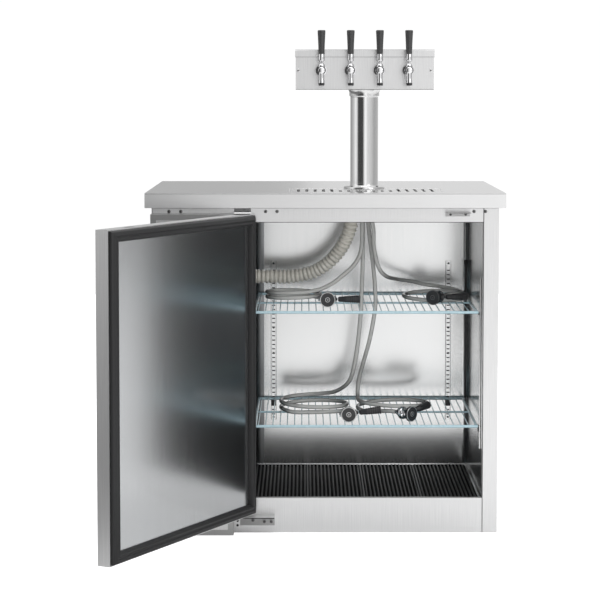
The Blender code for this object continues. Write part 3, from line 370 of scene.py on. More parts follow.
add_seams()
for k, x in enumerate((-0.412, -0.381, -0.157, -0.127, 0.392, 0.422)):
    screw(f"rail_screw_{k}", (x, FACE_Y, 0.8570), FRONT, 0.0045)
for k, x in enumerate((0.330, 0.370)):
    screw(f"strike_screw_{k}", (x, FACE_Y - 0.002, 0.8492), FRONT, 0.0036)
for k, (x, z) in enumerate(((-0.192, 0.034), (-0.1615, 0.030), (-0.143, 0.030))):
    screw(f"hinge_screw_{k}", (x, FACE_Y - 0.0025, z), FRONT)
for k, (x, z) in enumerate(((-0.2330, 0.020), (-0.2330, 0.032))):
    screw(f"stile_screw_{k}", (x, FACE_Y, z), FRONT, 0.0034, BLACK)
for k, x in enumerate((-0.40, 0.0, 0.40)):
    for m, z in enumerate((0.06, 0.80)):
        screw(f"rear_screw_{k}_{m}", (x, REAR_Y - 0.0023, z), (0, 1, 0))


# ---- Cold room


def make_rack():
    """Four moulded strips with close ribs, the seams between them and the bright edging."""
    x0, x1 = CAVITY_X0 + 0.004, CAVITY_X1 - 0.009
    y0, y1 = FACE_Y + 0.036, CAVITY_BACK - 0.008
    low, high = CAVITY_Z0 + 0.0006, CAVITY_Z0 + 0.0088
    strips, ribs_each, seam = 4, 14, 0.0045
    width = (x1 - x0 - seam * (strips - 1)) / strips
    ribs, plates, bars = bmesh.new(), bmesh.new(), bmesh.new()
    for k in range(strips):
        left = x0 + k * (width + seam)
        add_box(plates, (left, y0, low), (left + width, y1, low + 0.0035), 0.0005)
        for end in (y0, y1 - 0.006):
            add_box(plates, (left, end, low), (left + width, end + 0.006, high - 0.001), 0.0008)
        for n in range(ribs_each):
            x = left + (n + 0.5) * width / ribs_each
            add_box(ribs, (x - 0.0024, y0, low + 0.003), (x + 0.0024, y1, high), 0.0009)
        if k:
            add_box(bars, (left - seam, y0, low), (left, y1, high - 0.0008), 0.0006)
    # Painted light: the ribs are lighter than the plates of the same plastic.
    rack = add_object("floor_rack_look", mesh_from(ribs, "floor_rack"), RIB_PAINTED_LIGHT)
    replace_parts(rack, "floor_rack")
    add_object("rack_plates", mesh_from(plates, "rack_plates"), MAT_BLACK)
    add_object("rack_seams", mesh_from(bars, "rack_seams"), SEAM)
    bm = bmesh.new()
    add_box(bm, (x0, y1 + 0.0006, low), (x1 + 0.0045, y1 + 0.0060, high), 0.0006)
    add_box(bm, (x1 + 0.0010, y0, low), (x1 + 0.0060, y1, high), 0.0006)
    add_object("rack_edging", mesh_from(bm, "rack_edging"), LINER)


def make_shelf(level, z):
    """A welded shelf: a round rim, a middle rail and the wires across them."""
    x0, x1, y0, y1 = -0.190, 0.408, FACE_Y + 0.016, FACE_Y + 0.516
    rim, middle_rail, wire = 0.0038, 0.0028, 0.0015
    middle_x, wire_pitch, wires_each_side = 0.11165, 0.0193, 15
    bm = bmesh.new()
    rails = ((y0 + rim, rim, 0.0040), (y1 - rim, rim, 0.0040), (FACE_Y + 0.265, middle_rail, 0.0042))
    for y, radius, drop in rails:
        add_rod(bm, (x0 + 0.002, y, z - drop), (x1 - 0.002, y, z - drop), radius, 14)
    for x in (x0 + rim, x1 - rim):
        add_rod(bm, (x, y0 + rim, z - 0.0040), (x, y1 - rim, z - 0.0040), rim, 14)
    for k in range(-wires_each_side, wires_each_side + 1):
        x = middle_x + wire_pitch * k
        add_rod(bm, (x, y0 + 0.004, z - 0.0019), (x, y1 - 0.004, z - 0.0019), wire, 8)
    shelf = add_object(f"shelf_{level}_look", mesh_from(bm, f"shelf_{level}"), COATED)
    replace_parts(shelf, f"shelf_{level}")


def make_standard(name, across, face, low, high, outward):
    """A slotted upright. across is its middle along the wall, face the wall, outward into the room.

    It is a ladder of bars in front of a dark channel, with four round holes; the channel's dark sheet, the
    dark strips along its sides and the holes' dark discs are painted shade."""
    side = abs(outward[0]) > 0.5
    sign = outward[0] if side else outward[1]

    def box(bm, u0, u1, z0, z1, d0, d1, bevel=0.0):
        a, b = face + sign * d0, face + sign * d1
        if side:
            add_box(bm, (min(a, b), across + u0, z0), (max(a, b), across + u1, z1), bevel)
        else:
            add_box(bm, (across + u0, min(a, b), z0), (across + u1, max(a, b), z1), bevel)

    half, pitch, slot_h, slot_w = 0.0070, 0.0127, 0.0032, 0.0042
    metal, dark = bmesh.new(), bmesh.new()
    box(metal, -half, -slot_w, low, high, 0.0003, 0.0038, 0.0004)
    box(metal, slot_w, half, low, high, 0.0003, 0.0038, 0.0004)
    count = int((high - low - 0.030) / pitch)
    z = low + 0.015
    box(metal, -slot_w, slot_w, low, z, 0.0010, 0.0036)
    for _ in range(count):
        box(metal, -slot_w, slot_w, z + slot_h, z + pitch, 0.0010, 0.0036)
        z += pitch
    box(metal, -slot_w, slot_w, z, high, 0.0010, 0.0036)
    # Painted shade: a dark sheet behind the bars and dark strips along both sides stand for the shade in the
    # upright's hollow.
    box(dark, -half - 0.0009, half + 0.0009, low, high, 0.0003, 0.0009)
    box(dark, -slot_w - 0.0004, slot_w + 0.0004, low + 0.004, high - 0.004, 0.0004, 0.0012)
    # Painted shade: dark discs stand for the shade inside four round holes.
    holes = (low + 0.008, low + (high - low) * 0.42, low + (high - low) * 0.58, high - 0.008)
    for hole in holes:
        place = (face + sign * 0.0036, across, hole) if side else (across, face + sign * 0.0036, hole)
        add_lathe(dark, [(0.0030, 0.0), (0.0030, 0.0003), (0.0026, 0.0005)], place, outward, 20)
    upright = add_object(f"{name}_look", mesh_from(metal, name), LINER, smooth=FLAT)
    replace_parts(upright, name)
    add_object(f"{name}_channel", mesh_from(dark, f"{name}_channel"), DARK)
    for level, shelf_z in SHELF_Z.items():
        bm = bmesh.new()
        top = shelf_z - 0.0084
        box(bm, -0.0055, 0.0055, top - 0.0022, top, 0.0030, 0.0150 if side else 0.0200, 0.0004)
        box(bm, -0.0065, 0.0065, top - (0.0180 if level == "lower" else 0.0075), top, 0.0040, 0.0070, 0.0008)
        add_object(f"{name}_clip_{level}", mesh_from(bm, f"{name}_clip"), BLACK)


make_rack()
for level, z in SHELF_Z.items():
    make_shelf(level, z)
make_standard("shelf_standard_back_left", -0.144, CAVITY_BACK - 0.0003, 0.219, 0.683, (0, -1, 0))
make_standard("shelf_standard_back_right", 0.362, CAVITY_BACK - 0.0003, 0.219, 0.683, (0, -1, 0))
make_standard("shelf_standard_front_left", FACE_Y + 0.072, CAVITY_X0 + 0.0003, 0.214, 0.675, (1, 0, 0))
make_standard("shelf_standard_front_right", FACE_Y + 0.072, CAVITY_X1 - 0.0003, 0.214, 0.675, (-1, 0, 0))


def make_probe_bar():
    """The capped black conduit that stands in the back right corner."""
    bm = bmesh.new()
    add_box(bm, (0.4065, FACE_Y + 0.492, 0.288), (0.4135, FACE_Y + 0.499, 0.674), 0.0016)
    add_lathe(bm, [(0.0048, 0), (0.0054, 0.002), (0.0054, 0.010), (0.0040, 0.014)],
              (0.4100, FACE_Y + 0.4955, 0.674), UP, 24)
    add_object("probe_conduit", mesh_from(bm, "probe_conduit"), BLACK)


make_probe_bar()


def make_coves():
    """The lining's rounded back corners, from the rack up to the ceiling; the left one is dark with painted
    shade.
    """
    steps = 12
    # Painted shade: the left corner takes the dark copy of the liner.
    corners = (
        ("left", CAVITY_X0 + 0.0004, 1, 0.028, LINER_PAINTED_SHADE), ("right", CAVITY_X1 - 0.0004, -1, 0.014, LINER),
    )
    for name, corner, way, radius, mat in corners:
        bm, rails = bmesh.new(), []
        for z in (CAVITY_Z0 + 0.0110, CEILING_Z):
            angles = (math.pi / 2 * k / steps for k in range(steps + 1))
            back = CAVITY_BACK - 0.0004 - radius
            rails.append([
                bm.verts.new((corner + way * radius * (1 - math.cos(a)), back + radius * math.sin(a), z))
                for a in angles
            ])
        for k in range(steps):
            bm.faces.new((rails[0][k], rails[0][k + 1], rails[1][k + 1], rails[1][k]))
        add_object(f"cove_{name}", mesh_from(bm, "cove"), mat)


make_coves()


# ---- Cooling unit


finish_node("compressor", ENAMEL)
finish_node("condenser_coil", FINS)
finish_node("condenser_shroud", ZINC)
finish_node("condenser_fan", BLACK)
refined("evaporator_housing", FOAM, 0.0020)
finish_node("evaporator_coil", FINS)
finish_node("evaporator_fan", BLACK)
refined("evaporator_cover", BLACK, 0.0006)


# ---- Door


finish_node("door_skin", PANEL)
refined("door_liner", DOOR_LINER, 0.0006)
refined("door_handle", BLACK, 0.0010)
refined("door_lock", CHROME, 0.0003)


def swung(point):
    """A point of the closed door, carried to where the open door holds it."""
    return HINGE + Matrix.Rotation(DOOR_OPEN, 3, "Z") @ (Vector(point) - HINGE)


def make_gasket():
    """The magnetic seal: a folded bellows section with two ridges, mitred at the corners."""
    section = [
        (0.0034, 0.0), (0.0034, 0.0030), (0.0046, 0.0062), (0.0070, 0.0086), (0.0100, 0.0100),
        (0.0130, 0.0124), (0.0146, 0.0128), (0.0165, 0.0108), (0.0185, 0.0104), (0.0205, 0.0110),
        (0.0225, 0.0128), (0.0255, 0.0128), (0.0275, 0.0108), (0.0290, 0.0070), (0.0300, 0.0040),
        (0.0306, 0.0),
    ]
    ridges = (0, 4, 5, 6, 9, 10)
    bm = bmesh.new()
    corners = []
    for right, top in ((0, 0), (1, 0), (1, 1), (0, 1)):
        loop = []
        for inset, rise in section:
            x = DOOR_X1 - inset if right else DOOR_X0 + inset
            z = DOOR_Z1 - inset if top else DOOR_Z0 + inset
            loop.append(bm.verts.new(swung((x, DOOR_INNER_Y + 0.0004 + rise, z))))
        corners.append(loop)
    for k in range(4):
        here, there = corners[k], corners[(k + 1) % 4]
        for i in range(len(section)):
            j = (i + 1) % len(section)
            bm.faces.new((here[i], here[j], there[j], there[i])).material_index = int(i in ridges)
    gasket = add_object("gasket_look", mesh_from(bm, "gasket"), RUBBER, "door", 50)
    # Painted highlight: the ridge faces take the lighter copy of the gasket rubber.
    gasket.data.materials.append(RIDGE_PAINTED_HIGHLIGHT)
    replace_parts(gasket, "door_gasket")


make_gasket()


# ---- Tap tower


column = lathe(
    "column_look",
    [
        (0.0360, 0.9066), (0.0558, 0.9066), (0.0560, 0.9074), (0.0560, 0.9096), (0.0550, 0.9116),
        (0.0520, 0.9124), (0.0410, 0.9126), (0.0392, 0.9140), (0.0382, 0.9165), (0.0380, 0.9190),
        (0.0380, 0.9205), (0.0380, 1.1555), (0.0380, 1.1570), (0.0390, 1.1590), (0.0408, 1.1600),
        (0.0410, 1.1612), (0.0410, 1.1700), (0.0420, 1.1730), (0.0438, 1.1765), (0.0360, 1.1766),
    ],
    (TOWER_X, TOWER_Y, 0.0), UP, COLUMN, sides=96,
)
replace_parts(column, "tower_column")
refined("tower_box", PANEL, 0.0006)
finish_node("tower_lid", PANEL)
for k, side in enumerate((-1, 1)):
    screw(f"box_screw_{k}", (TOWER_X + side * 0.180, BOX_FRONT_Y, 1.229), FRONT, 0.0044, STEEL)
# Painted shadow: the first line is a dark strip along the bottom of the tower box's front, for the contact
# shadow where the box meets the column.
for name, low, high, half, mat in (
    ("box_painted_shadow", 1.1769, 1.1780, 0.1874, DARK), ("lid_seam", 1.2650, 1.2657, 0.1890, SCREW),
    ("lid_edge", 1.2850, 1.2856, 0.1890, SCREW),
):
    bm = bmesh.new()
    add_box(bm, (TOWER_X - half, BOX_FRONT_Y - 0.0021, low), (TOWER_X + half, BOX_FRONT_Y - 0.0002, high))
    add_object(name, mesh_from(bm, name), mat)
flange_screw_circle = 0.0485
for k in range(4):
    angle = math.radians(45 + 90 * k)
    x, y = TOWER_X + flange_screw_circle * math.cos(angle), TOWER_Y + flange_screw_circle * math.sin(angle)
    screw(f"flange_screw_{k}", (x, y, 0.9124), UP, 0.0032)


def make_faucet(n):
    """A forward-sealing beer faucet: shank nut, body, collar, bonnet and spout."""
    x = TOWER_X + TAP_PITCH * (n - 2.5)
    bm = bmesh.new()
    shank = [
        (0.0060, 0.0), (0.0080, 0.0006), (0.0090, 0.0018), (0.0094, 0.0040), (0.0094, 0.0150),
        (0.0088, 0.0162), (0.0088, 0.0250), (0.0094, 0.0262), (0.0094, 0.0330), (0.0110, 0.0345),
        (0.0110, 0.0390), (0.0094, 0.0400), (0.0094, 0.0475), (0.0150, 0.0485), (0.0155, 0.0495),
        (0.0155, 0.0590), (0.0150, 0.0600), (0.0105, 0.0602), (0.0105, 0.0640), (0.0109, 0.0645),
        (0.0109, 0.0880), (0.0057, 0.0885), (0.0057, 0.0934),
    ]
    add_lathe(bm, shank, (x, BOX_FRONT_Y - 0.0630, TAP_Z), (0, 1, 0))
    spout = [
        (0.0060, -0.0408), (0.0072, -0.0406), (0.0078, -0.0395), (0.0080, -0.0370), (0.0078, -0.0300),
        (0.0070, -0.0240), (0.0068, -0.0150), (0.0078, -0.0080), (0.0079, 0.0020),
    ]
    add_lathe(bm, spout, (x, BOX_FRONT_Y - 0.0540, TAP_Z), UP)
    bonnet = [
        (0.0088, -0.0110), (0.0094, -0.0100), (0.0094, -0.0010), (0.0090, 0.0015), (0.0080, 0.0045),
        (0.0064, 0.0068), (0.0044, 0.0083), (0.0020, 0.0090),
    ]
    add_lathe(bm, bonnet, (x, TAP_PIVOT_Y, TAP_PIVOT_Z))
    faucet = add_object(f"faucet_look_{n}", mesh_from(bm, "faucet"), CHROME)
    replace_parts(faucet, f"faucet_{n}")
    bm = bmesh.new()
    washer = [(0.0112, 0.0), (0.0128, 0.0006), (0.0128, 0.0030), (0.0118, 0.0036)]
    add_lathe(bm, washer, (x, BOX_FRONT_Y, TAP_Z), FRONT)
    add_object(f"shank_washer_{n}", mesh_from(bm, "washer"), CHROME)
    # Painted shade: the black sleeve over the spout's lower end stands for the shade inside its opening.
    bm = bmesh.new()
    add_lathe(bm, [(0.0066, -0.0412), (0.0078, -0.0408), (0.0081, -0.0385), (0.0081, -0.0340)],
              (x, BOX_FRONT_Y - 0.0540, TAP_Z), UP, 32)
    collar = [(0.0088, -0.0024), (0.0112, -0.0020), (0.0114, 0.0000), (0.0112, 0.0020), (0.0088, 0.0024)]
    add_lathe(bm, collar, (x, BOX_FRONT_Y - 0.0560, TAP_Z), (0, 1, 0), 40)
    add_object(f"spout_tip_{n}", mesh_from(bm, "spout_tip"), BLACK)
    body = f"tap_handle_{n}"
    ferrule = [
        (0.0038, 0.0100), (0.0044, 0.0110), (0.0052, 0.0122), (0.0066, 0.0136), (0.0080, 0.0152),
        (0.0084, 0.0168), (0.0084, 0.0310), (0.0080, 0.0326), (0.0074, 0.0328),
    ]
    pivot = (x, TAP_PIVOT_Y, TAP_PIVOT_Z)
    lathe(f"tap_ferrule_{n}", ferrule, pivot, UP, CHROME, body)
    grip = [
        (0.0072, 0.0329), (0.0082, 0.0334), (0.0083, 0.0400), (0.0090, 0.0600), (0.0098, 0.0780),
        (0.0106, 0.0920), (0.0106, 0.0948), (0.0100, 0.0962), (0.0080, 0.0969),
    ]
    lever = lathe(f"tap_grip_{n}", grip, pivot, UP, GRIP, body)
    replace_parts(lever, body)


for n in (1, 2, 3, 4):
    make_faucet(n)


# ---- Hoses


def smooth_route(points, step):
    """Points about a step apart on the curve through the given points, square to both ends."""
    points = [Vector(p) for p in points]
    lead = 0.004
    first = points[0] + (points[1] - points[0]).normalized() * lead
    last = points[-1] + (points[-2] - points[-1]).normalized() * lead
    ends = [2 * points[0] - points[1], *points, 2 * points[-1] - points[-2]]
    fine = []
    for a, b, c, d in zip(ends, ends[1:], ends[2:], ends[3:]):
        for k in range(24):
            t = k / 24
            fine.append(
                0.5 * (2 * b + (c - a) * t + (2 * a - 5 * b + 4 * c - d) * t**2)
                + 0.5 * (3 * b - a - 3 * c + d) * t**3
            )
    fine.append(points[-1])
    along = [0.0]
    for a, b in zip(fine, fine[1:]):
        along.append(along[-1] + (b - a).length)
    count = max(2, round(along[-1] / step))
    spaced, i = [], 0
    for k in range(count + 1):
        want = along[-1] * k / count
        while i < len(fine) - 2 and along[i + 1] < want:
            i += 1
        part = (want - along[i]) / max(along[i + 1] - along[i], 1e-9)
        spaced.append(fine[i].lerp(fine[i + 1], min(1.0, max(0.0, part))))
    return [spaced[0], first, *spaced[1:-1], last, spaced[-1]]


def coil_turns(centre, radii, start, sweep, z_start, z_end):
    """Points on a coil lying flat, 12 to a turn; the angles are in degrees."""
    count = round(abs(sweep) * 12 / 360)
    made = []
    for k in range(count + 1):
        angle = math.radians(start + sweep * k / count)
        radius = radii[0] + (radii[1] - radii[0]) * k / count
        made.append((
            centre[0] + radius * math.cos(angle),
            centre[1] + radius * math.sin(angle),
            z_start + (z_end - z_start) * k / count,
        ))
    return made


def line_in_tower(number):
    """A line's route from its faucet's tail down the column to the ceiling hole."""
    y = FACE_Y
    if number in (1, 4):
        route = [
            (-0.0089, y + 0.2220, 1.229), (-0.0086, y + 0.2310, 1.229), (-0.0030, y + 0.2490, 1.228),
            (0.0111, y + 0.2610, 1.224), (0.0311, y + 0.2650, 1.216), (0.058, y + 0.2580, 1.204),
            (0.080, y + 0.2430, 1.189),
            (0.096, y + 0.2320, 1.166), (0.102, y + 0.2270, 1.130), (0.103, y + 0.2260, 0.99),
        ]
    else:
        route = [
            (0.0697, y + 0.2220, 1.229), (0.0698, y + 0.2310, 1.2286), (0.0715, y + 0.2470, 1.223),
            (0.0755, y + 0.2570, 1.210), (0.0830, y + 0.2590, 1.192), (0.0920, y + 0.2535, 1.168),
            (0.0995, y + 0.2490, 1.135), (0.103, y + 0.2460, 1.090), (0.103, y + 0.2460, 0.99),
        ]
    if number > 2:
        route = [(2 * TOWER_X - x, y, z) for x, y, z in route]
    return route


def beer_routes():
    """Each line's whole route: tower, drop, coil on its shelf, and the run into its coupler."""
    y = FACE_Y
    up, low = SHELF_Z["upper"] + LINE_D / 2 + 0.0005, SHELF_Z["lower"] + LINE_D / 2 + 0.0005
    layer = LINE_D + 0.0012
    one = line_in_tower(1) + [
        (0.103, y + 0.226, 0.860), (0.1035, y + 0.225, 0.790), (0.100, y + 0.223, 0.735),
        (0.083, y + 0.218, 0.6990), (0.047, y + 0.207, 0.6660), (0.020, y + 0.199, 0.6470),
        (-0.010, y + 0.191, 0.6330), (-0.050, y + 0.184, up + 2.25 * layer),
    ]
    one += coil_turns((-0.085, y + 0.255), (0.073, 0.073), 265, -590, up + 2.1 * layer, up + 0.3 * layer)
    one += [(0.001, y + 0.232, up + 0.006), (0.0075, y + 0.195, up + 0.013), (0.0075, y + 0.1560, 0.6130)]
    two = line_in_tower(2) + [
        (0.104, y + 0.246, 0.860), (0.106, y + 0.245, 0.790), (0.1055, y + 0.240, 0.700),
        (0.1025, y + 0.236, 0.610), (0.101, y + 0.236, 0.570), (0.094, y + 0.240, 0.490),
        (0.084, y + 0.246, 0.420), (0.069, y + 0.275, 0.366), (0.034, y + 0.325, 0.332),
        (-0.004, y + 0.360, low + 2.3 * layer),
    ]
    two += coil_turns((-0.028, y + 0.275), (0.092, 0.092), 100, 500, low + 2.0 * layer, low)
    two += [(0.030, y + 0.186, low + 0.004), (0.0635, y + 0.150, low + 0.014), (0.064, y + 0.1140, 0.3080)]
    three = line_in_tower(3) + [
        (0.119, y + 0.246, 0.860), (0.123, y + 0.247, 0.790), (0.134, y + 0.249, 0.700),
        (0.1405, y + 0.236, 0.620), (0.1395, y + 0.236, 0.570), (0.126, y + 0.243, 0.490),
        (0.110, y + 0.268, 0.425), (0.0995, y + 0.292, 0.380), (0.0945, y + 0.295, 0.348),
        (0.0935, y + 0.279, low + 2.9 * layer),
    ]
    three += coil_turns((0.190, y + 0.270), (0.097, 0.097), 195, 385, low + 2.1 * layer, low)
    three += [(0.130, y + 0.186, low + 0.003), (0.1700, y + 0.1305, low + 0.014)]
    three += [(0.1922, y + 0.1083, 0.3080)]
    four = line_in_tower(4) + [
        (0.119, y + 0.226, 0.860), (0.134, y + 0.226, 0.800), (0.136, y + 0.227, 0.745),
        (0.149, y + 0.232, 0.690), (0.171, y + 0.262, 0.662), (0.205, y + 0.330, 0.647),
        (0.250, y + 0.385, 0.636),
    ]
    middle = (0.309, y + 0.318)
    four += coil_turns(middle, (0.097, 0.0932), 105, -105, up + 2.3 * layer, up + 0.2 * layer)
    four += coil_turns(middle, (0.0932, 0.090), 0, -90, up + 0.2 * layer, up)[1:]
    four += coil_turns(middle, (0.090, 0.080), -90, -270, up, up + 1.2 * layer)[1:]
    four += [(0.387, y + 0.290, up + 0.015), (0.368, y + 0.262, up + 0.016)]
    four += [(0.3387, y + 0.2345, 0.6130), (0.3237, y + 0.2086, 0.6130)]
    return {1: one, 2: two, 3: three, 4: four}


def make_beer_line(number, route):
    """One smooth round tube along its route."""
    points = smooth_route(route, 0.010)
    curve = bpy.data.curves.new(f"beer_line_{number}", "CURVE")
    curve.dimensions = "3D"
    curve.bevel_depth = LINE_D / 2
    curve.bevel_resolution = 6
    curve.use_fill_caps = True
    spline = curve.splines.new("POLY")
    spline.points.add(len(points) - 1)
    for point, place in zip(spline.points, points):
        point.co = (*place, 1.0)
    spline.use_smooth = True
    line = add_object(f"beer_hose_{number}", curve, HOSE)
    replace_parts(line, f"beer_line_{number}")


def make_air_hose():
    """The ribbed duct from the evaporator cover up to the tower's foot."""
    y = FACE_Y
    points = smooth_route([
        (-0.1900, y + 0.300, 0.658), (-0.150, y + 0.300, 0.658), (-0.095, y + 0.298, 0.658),
        (-0.035, y + 0.290, 0.6700), (0.0080, y + 0.277, 0.6960), (0.0420, y + 0.262, 0.7340),
        (0.0630, y + 0.248, 0.7740), (0.0730, y + 0.240, 0.8080), (0.0760, y + 0.236, 0.8400),
        (0.0765, y + 0.236, 0.8640),
    ], 0.0015)
    pitch, sides = 0.0120, 40
    bm = bmesh.new()
    rings, along = [], 0.0
    side = Vector((0, 1, 0))
    for k, place in enumerate(points):
        ahead = points[min(k + 1, len(points) - 1)] - points[max(k - 1, 0)]
        ahead.normalize()
        side = (side - ahead * side.dot(ahead)).normalized()
        other = ahead.cross(side)
        if k:
            along += (place - points[k - 1]).length
        wave = 0.5 + 0.5 * math.cos(2 * math.pi * along / pitch)
        radius = AIR_HOSE_D / 2 - 0.0046 * (1 - wave**0.6)
        rings.append([
            bm.verts.new(place + (side * math.cos(a) + other * math.sin(a)) * radius)
            for a in (2 * math.pi * n / sides for n in range(sides))
        ])
    for here, there in zip(rings, rings[1:]):
        for n in range(sides):
            m = (n + 1) % sides
            bm.faces.new((here[n], here[m], there[m], there[n]))
    bm.faces.new(rings[0])
    bm.faces.new(rings[-1])
    hose = add_object("air_duct", mesh_from(bm, "air_duct"), DUCT, smooth=60)
    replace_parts(hose, "air_hose")


for number, route in beer_routes().items():
    make_beer_line(number, route)
make_air_hose()


# ---- Keg couplers


COUPLERS = (
    (1, (0.0075, FACE_Y + 0.095, 0.6130), (0, -1, 0), (1.0, 0.0, 0.0)),
    (2, (0.0640, FACE_Y + 0.053, 0.3080), (0, -1, 0), (0.99, 0.0, 0.12)),
    (3, (0.2355, FACE_Y + 0.065, 0.3080), (0.707, -0.707, 0), (0.70, 0.70, 0.16)),
    (4, (0.2925, FACE_Y + 0.155, 0.6130), (-0.5, -0.866, 0), (0.99, 0.14, 0.0)),
)


def make_coupler(number, centre, facing, handle):
    """A keg coupler lying on its side, with its probe, bayonet rim, gas barb and pivoted grip."""
    centre, facing, handle = Vector(centre), Vector(facing).normalized(), Vector(handle).normalized()
    tail = -facing
    bm = bmesh.new()
    body = [
        (0.0150, 0.0024), (0.0150, 0.0110), (0.0148, 0.0150), (0.0150, 0.0290), (0.0160, 0.0310),
        (0.0169, 0.0322), (0.0169, 0.0395), (0.0160, 0.0404), (0.0098, 0.0420), (0.0094, 0.0428),
        (0.0094, 0.0510), (0.0088, 0.0520), (0.0052, 0.0540), (0.0050, 0.0550), (0.0056, 0.0556),
        (0.0050, 0.0572), (0.0050, 0.0602),
    ]
    add_lathe(bm, body, centre, tail, 40)
    out = -handle
    barb = [
        (0.0054, 0.0), (0.0054, 0.0150), (0.0046, 0.0156), (0.0046, 0.0180), (0.0054, 0.0190),
        (0.0046, 0.0215), (0.0054, 0.0225), (0.0042, 0.0258),
    ]
    add_lathe(bm, barb, centre + tail * 0.022, out, 24)
    pivot = centre + tail * 0.021 + handle * 0.0235
    add_lathe(bm, [(0.0036, -0.012), (0.0038, -0.001), (0.0026, 0.0005)], pivot, handle, 24)
    look = add_object(f"coupler_look_{number}", mesh_from(bm, "coupler"), CHROME)
    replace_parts(look, f"coupler_{number}")
    bm = bmesh.new()
    add_lathe(bm, [(0.0152, 0.0020), (0.0205, 0.0022), (0.0205, 0.0085), (0.0198, 0.0092), (0.0152, 0.0094)],
              centre, tail, 40)
    yoke = [(0.0088, -0.0090), (0.0088, -0.0022), (0.0044, -0.0016), (0.0044, 0.0006), (0.0030, 0.0032)]
    add_lathe(bm, yoke, pivot, handle, 24)
    add_object(f"coupler_rim_{number}", mesh_from(bm, "coupler_rim"), BLACK)
    rings = (
        (0.0205, STEEL), (0.0188, BLACK), (0.0068, STEEL), (0.0054, BLACK), (0.0024, STEEL), (0.0013, DARK),
    )
    for k, (radius, mat) in enumerate(rings):
        deep = 0.0020 - 0.0004 * k
        bm = bmesh.new()
        ring = [(radius - 0.0005, deep - 0.0006), (radius, deep), (radius, deep + 0.0014)]
        add_lathe(bm, ring, centre, tail, 40)
        look = SCREW if number == 4 and mat is STEEL else mat
        add_object(f"coupler_ring_{number}_{k}", mesh_from(bm, "coupler_ring"), look)
    grip = [
        (0.0040, 0.0002), (0.0052, 0.0008), (0.0066, 0.0034),
        (0.0072, 0.0046), (0.0072, 0.0160), (0.0080, 0.0175),
    ]
    bands, band_pitch, groove = 6, 0.0060, 0.0009
    for k in range(bands):
        base = 0.0190 + k * band_pitch
        swell = 0.0085 + 0.0022 * (base - 0.018) / 0.040
        grip += [(swell, base), (swell, base + 0.0044)]
        grip += [(swell - groove, base + 0.0049), (swell - groove, base + 0.0056)]
    grip += [(0.0106, 0.0556), (0.0108, 0.0575), (0.0102, 0.0592), (0.0080, 0.0599)]
    body = f"coupler_handle_{number}"
    start = pivot + handle * 0.0045
    lever = lathe(f"coupler_grip_{number}", grip, start, handle, BLACK, body, 32)
    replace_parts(lever, body)


for coupler in COUPLERS:
    make_coupler(*coupler)


# ---- Studio


STUDIO_STRENGTH, BACKDROP_STRENGTH = 1.4, 1.02
CAMERA_PITCH = 4.0
# The studio's brightness by heading, in degrees to the right of the way the object faces.
SURROUND = (
    (-180, 0.30), (-128, 0.30), (-100, 0.48), (-74, 0.82), (-60, 0.46), (-52, 0.05), (-12, 0.05),
    (-6, 0.36), (4, 0.80), (12, 0.88), (24, 0.62), (60, 0.50), (88, 0.34), (130, 0.40), (180, 0.55),
)


def add_stage():
    """A pale floor that the camera sees as lit paper, darker in reflections towards the object's left."""
    bm = bmesh.new()
    corners = [(-7, -4), (7, -4), (7, 6), (-7, 6)]
    bm.faces.new([bm.verts.new((x, y, -0.0005)) for x, y in corners])
    paper = shader("studio floor", (0.82, 0.82, 0.82), 0.9, Emission_Color=(1, 1, 1, 1))
    grain(paper, (1, 1, 1), 6, (0.85, 0.95), ((0.16, 0.16, 0.16), (0.98, 0.98, 0.98)))
    tree = paper.node_tree
    seen = tree.nodes.new("ShaderNodeLightPath")
    tree.links.new(seen.outputs["Is Camera Ray"], tree.nodes["Principled BSDF"].inputs["Emission Strength"])
    split = tree.nodes.new("ShaderNodeSeparateXYZ")
    across = tree.nodes.new("ShaderNodeMapRange")
    across.inputs["From Min"].default_value, across.inputs["From Max"].default_value = -1.3, -0.1
    ramp = tree.nodes["Color Ramp"]
    ramp.color_ramp.elements[0].position, ramp.color_ramp.elements[1].position = 0.0, 1.0
    tree.links.new(tree.nodes["Texture Coordinate"].outputs["Object"], split.inputs["Vector"])
    tree.links.new(split.outputs["X"], across.inputs["Value"])
    tree.links.new(across.outputs["Result"], ramp.inputs["Fac"])
    data = mesh_from(bm, "floor")
    data.materials.append(paper)
    floor = bpy.data.objects.new("studio_floor", data)
    bpy.context.scene.collection.objects.link(floor)


def add_light(name, place, target, size, power):
    """A soft rectangular light aimed at a point."""
    data = bpy.data.lights.new(name, "AREA")
    data.shape = "RECTANGLE"
    data.size, data.size_y = size
    data.energy = power
    light = bpy.data.objects.new(name, data)
    light.location = place
    light.rotation_euler = (Vector(target) - Vector(place)).to_track_quat("-Z", "Y").to_euler()
    bpy.context.scene.collection.objects.link(light)


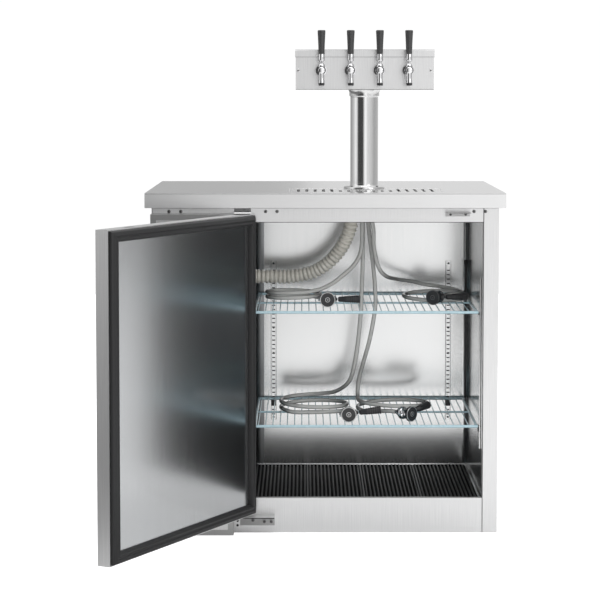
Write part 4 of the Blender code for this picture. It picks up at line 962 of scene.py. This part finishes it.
def add_world():
    """A pale studio all round, white behind the object, with a dark flag standing at the front left."""
    world = bpy.data.worlds.new("studio")
    bpy.context.scene.world = world
    bpy.context.scene.view_settings.view_transform = "Standard"
    world.use_nodes = True
    tree = world.node_tree
    background = tree.nodes["Background"]
    coords = tree.nodes.new("ShaderNodeTexCoord")
    split = tree.nodes.new("ShaderNodeSeparateXYZ")
    tree.links.new(coords.outputs["Generated"], split.inputs["Vector"])
    ahead = tree.nodes.new("ShaderNodeMath")
    ahead.operation = "MULTIPLY"
    ahead.inputs[1].default_value = -1.0
    tree.links.new(split.outputs["Y"], ahead.inputs[0])
    heading = tree.nodes.new("ShaderNodeMath")
    heading.operation = "ARCTAN2"
    tree.links.new(split.outputs["X"], heading.inputs[0])
    tree.links.new(ahead.outputs["Value"], heading.inputs[1])
    around = tree.nodes.new("ShaderNodeMapRange")
    around.inputs["From Min"].default_value, around.inputs["From Max"].default_value = -math.pi, math.pi
    tree.links.new(heading.outputs["Value"], around.inputs["Value"])
    ramp = tree.nodes.new("ShaderNodeValToRGB")
    stops = ramp.color_ramp.elements
    stops[0].position, stops[1].position = 0.0, 1.0
    for degrees, _ in SURROUND[1:-1]:
        stops.new((degrees + 180) / 360)
    for stop, (degrees, level) in zip(stops, SURROUND):
        stop.color = (level, level, level, 1)
    tree.links.new(around.outputs["Result"], ramp.inputs["Fac"])
    overhead = tree.nodes.new("ShaderNodeMapRange")
    overhead.inputs["From Min"].default_value, overhead.inputs["From Max"].default_value = 0.45, 0.80
    tree.links.new(split.outputs["Z"], overhead.inputs["Value"])
    lift = tree.nodes.new("ShaderNodeMixRGB")
    lift.inputs["Color2"].default_value = (0.95, 0.95, 0.95, 1)
    tree.links.new(overhead.outputs["Result"], lift.inputs["Fac"])
    tree.links.new(ramp.outputs["Color"], lift.inputs["Color1"])
    white = tree.nodes.new("ShaderNodeBackground")
    path = tree.nodes.new("ShaderNodeLightPath")
    mix = tree.nodes.new("ShaderNodeMixShader")
    tree.links.new(lift.outputs["Color"], background.inputs["Color"])
    tree.links.new(path.outputs["Is Camera Ray"], mix.inputs["Fac"])
    tree.links.new(background.outputs["Background"], mix.inputs[1])
    tree.links.new(white.outputs["Background"], mix.inputs[2])
    background.inputs["Strength"].default_value = STUDIO_STRENGTH
    white.inputs["Color"].default_value = (1, 1, 1, 1)
    white.inputs["Strength"].default_value = BACKDROP_STRENGTH
    tree.links.new(mix.outputs["Shader"], tree.nodes["World Output"].inputs["Surface"])


def add_camera():
    """A long lens in front of the object, a little above its worktop and tipped down."""
    data = bpy.data.cameras.new("camera")
    data.lens = 124.72
    data.sensor_width = 36.0
    data.shift_x, data.shift_y = -0.0053, -0.1155
    camera = bpy.data.objects.new("camera", data)
    camera.location = (-0.0583, FACE_Y - 5.468, 1.1886)
    camera.rotation_euler = (math.radians(90 - CAMERA_PITCH), 0, 0)
    bpy.context.scene.collection.objects.link(camera)
    bpy.context.scene.camera = camera


add_stage()
add_world()
add_light("key", (2.6, -3.2, 2.4), (0.1, 0.0, 0.6), (1.8, 1.8), 14)
add_light("top", (0.2, -0.4, 3.4), (0.0, 0.0, 0.5), (2.4, 1.8), 14)
add_camera()
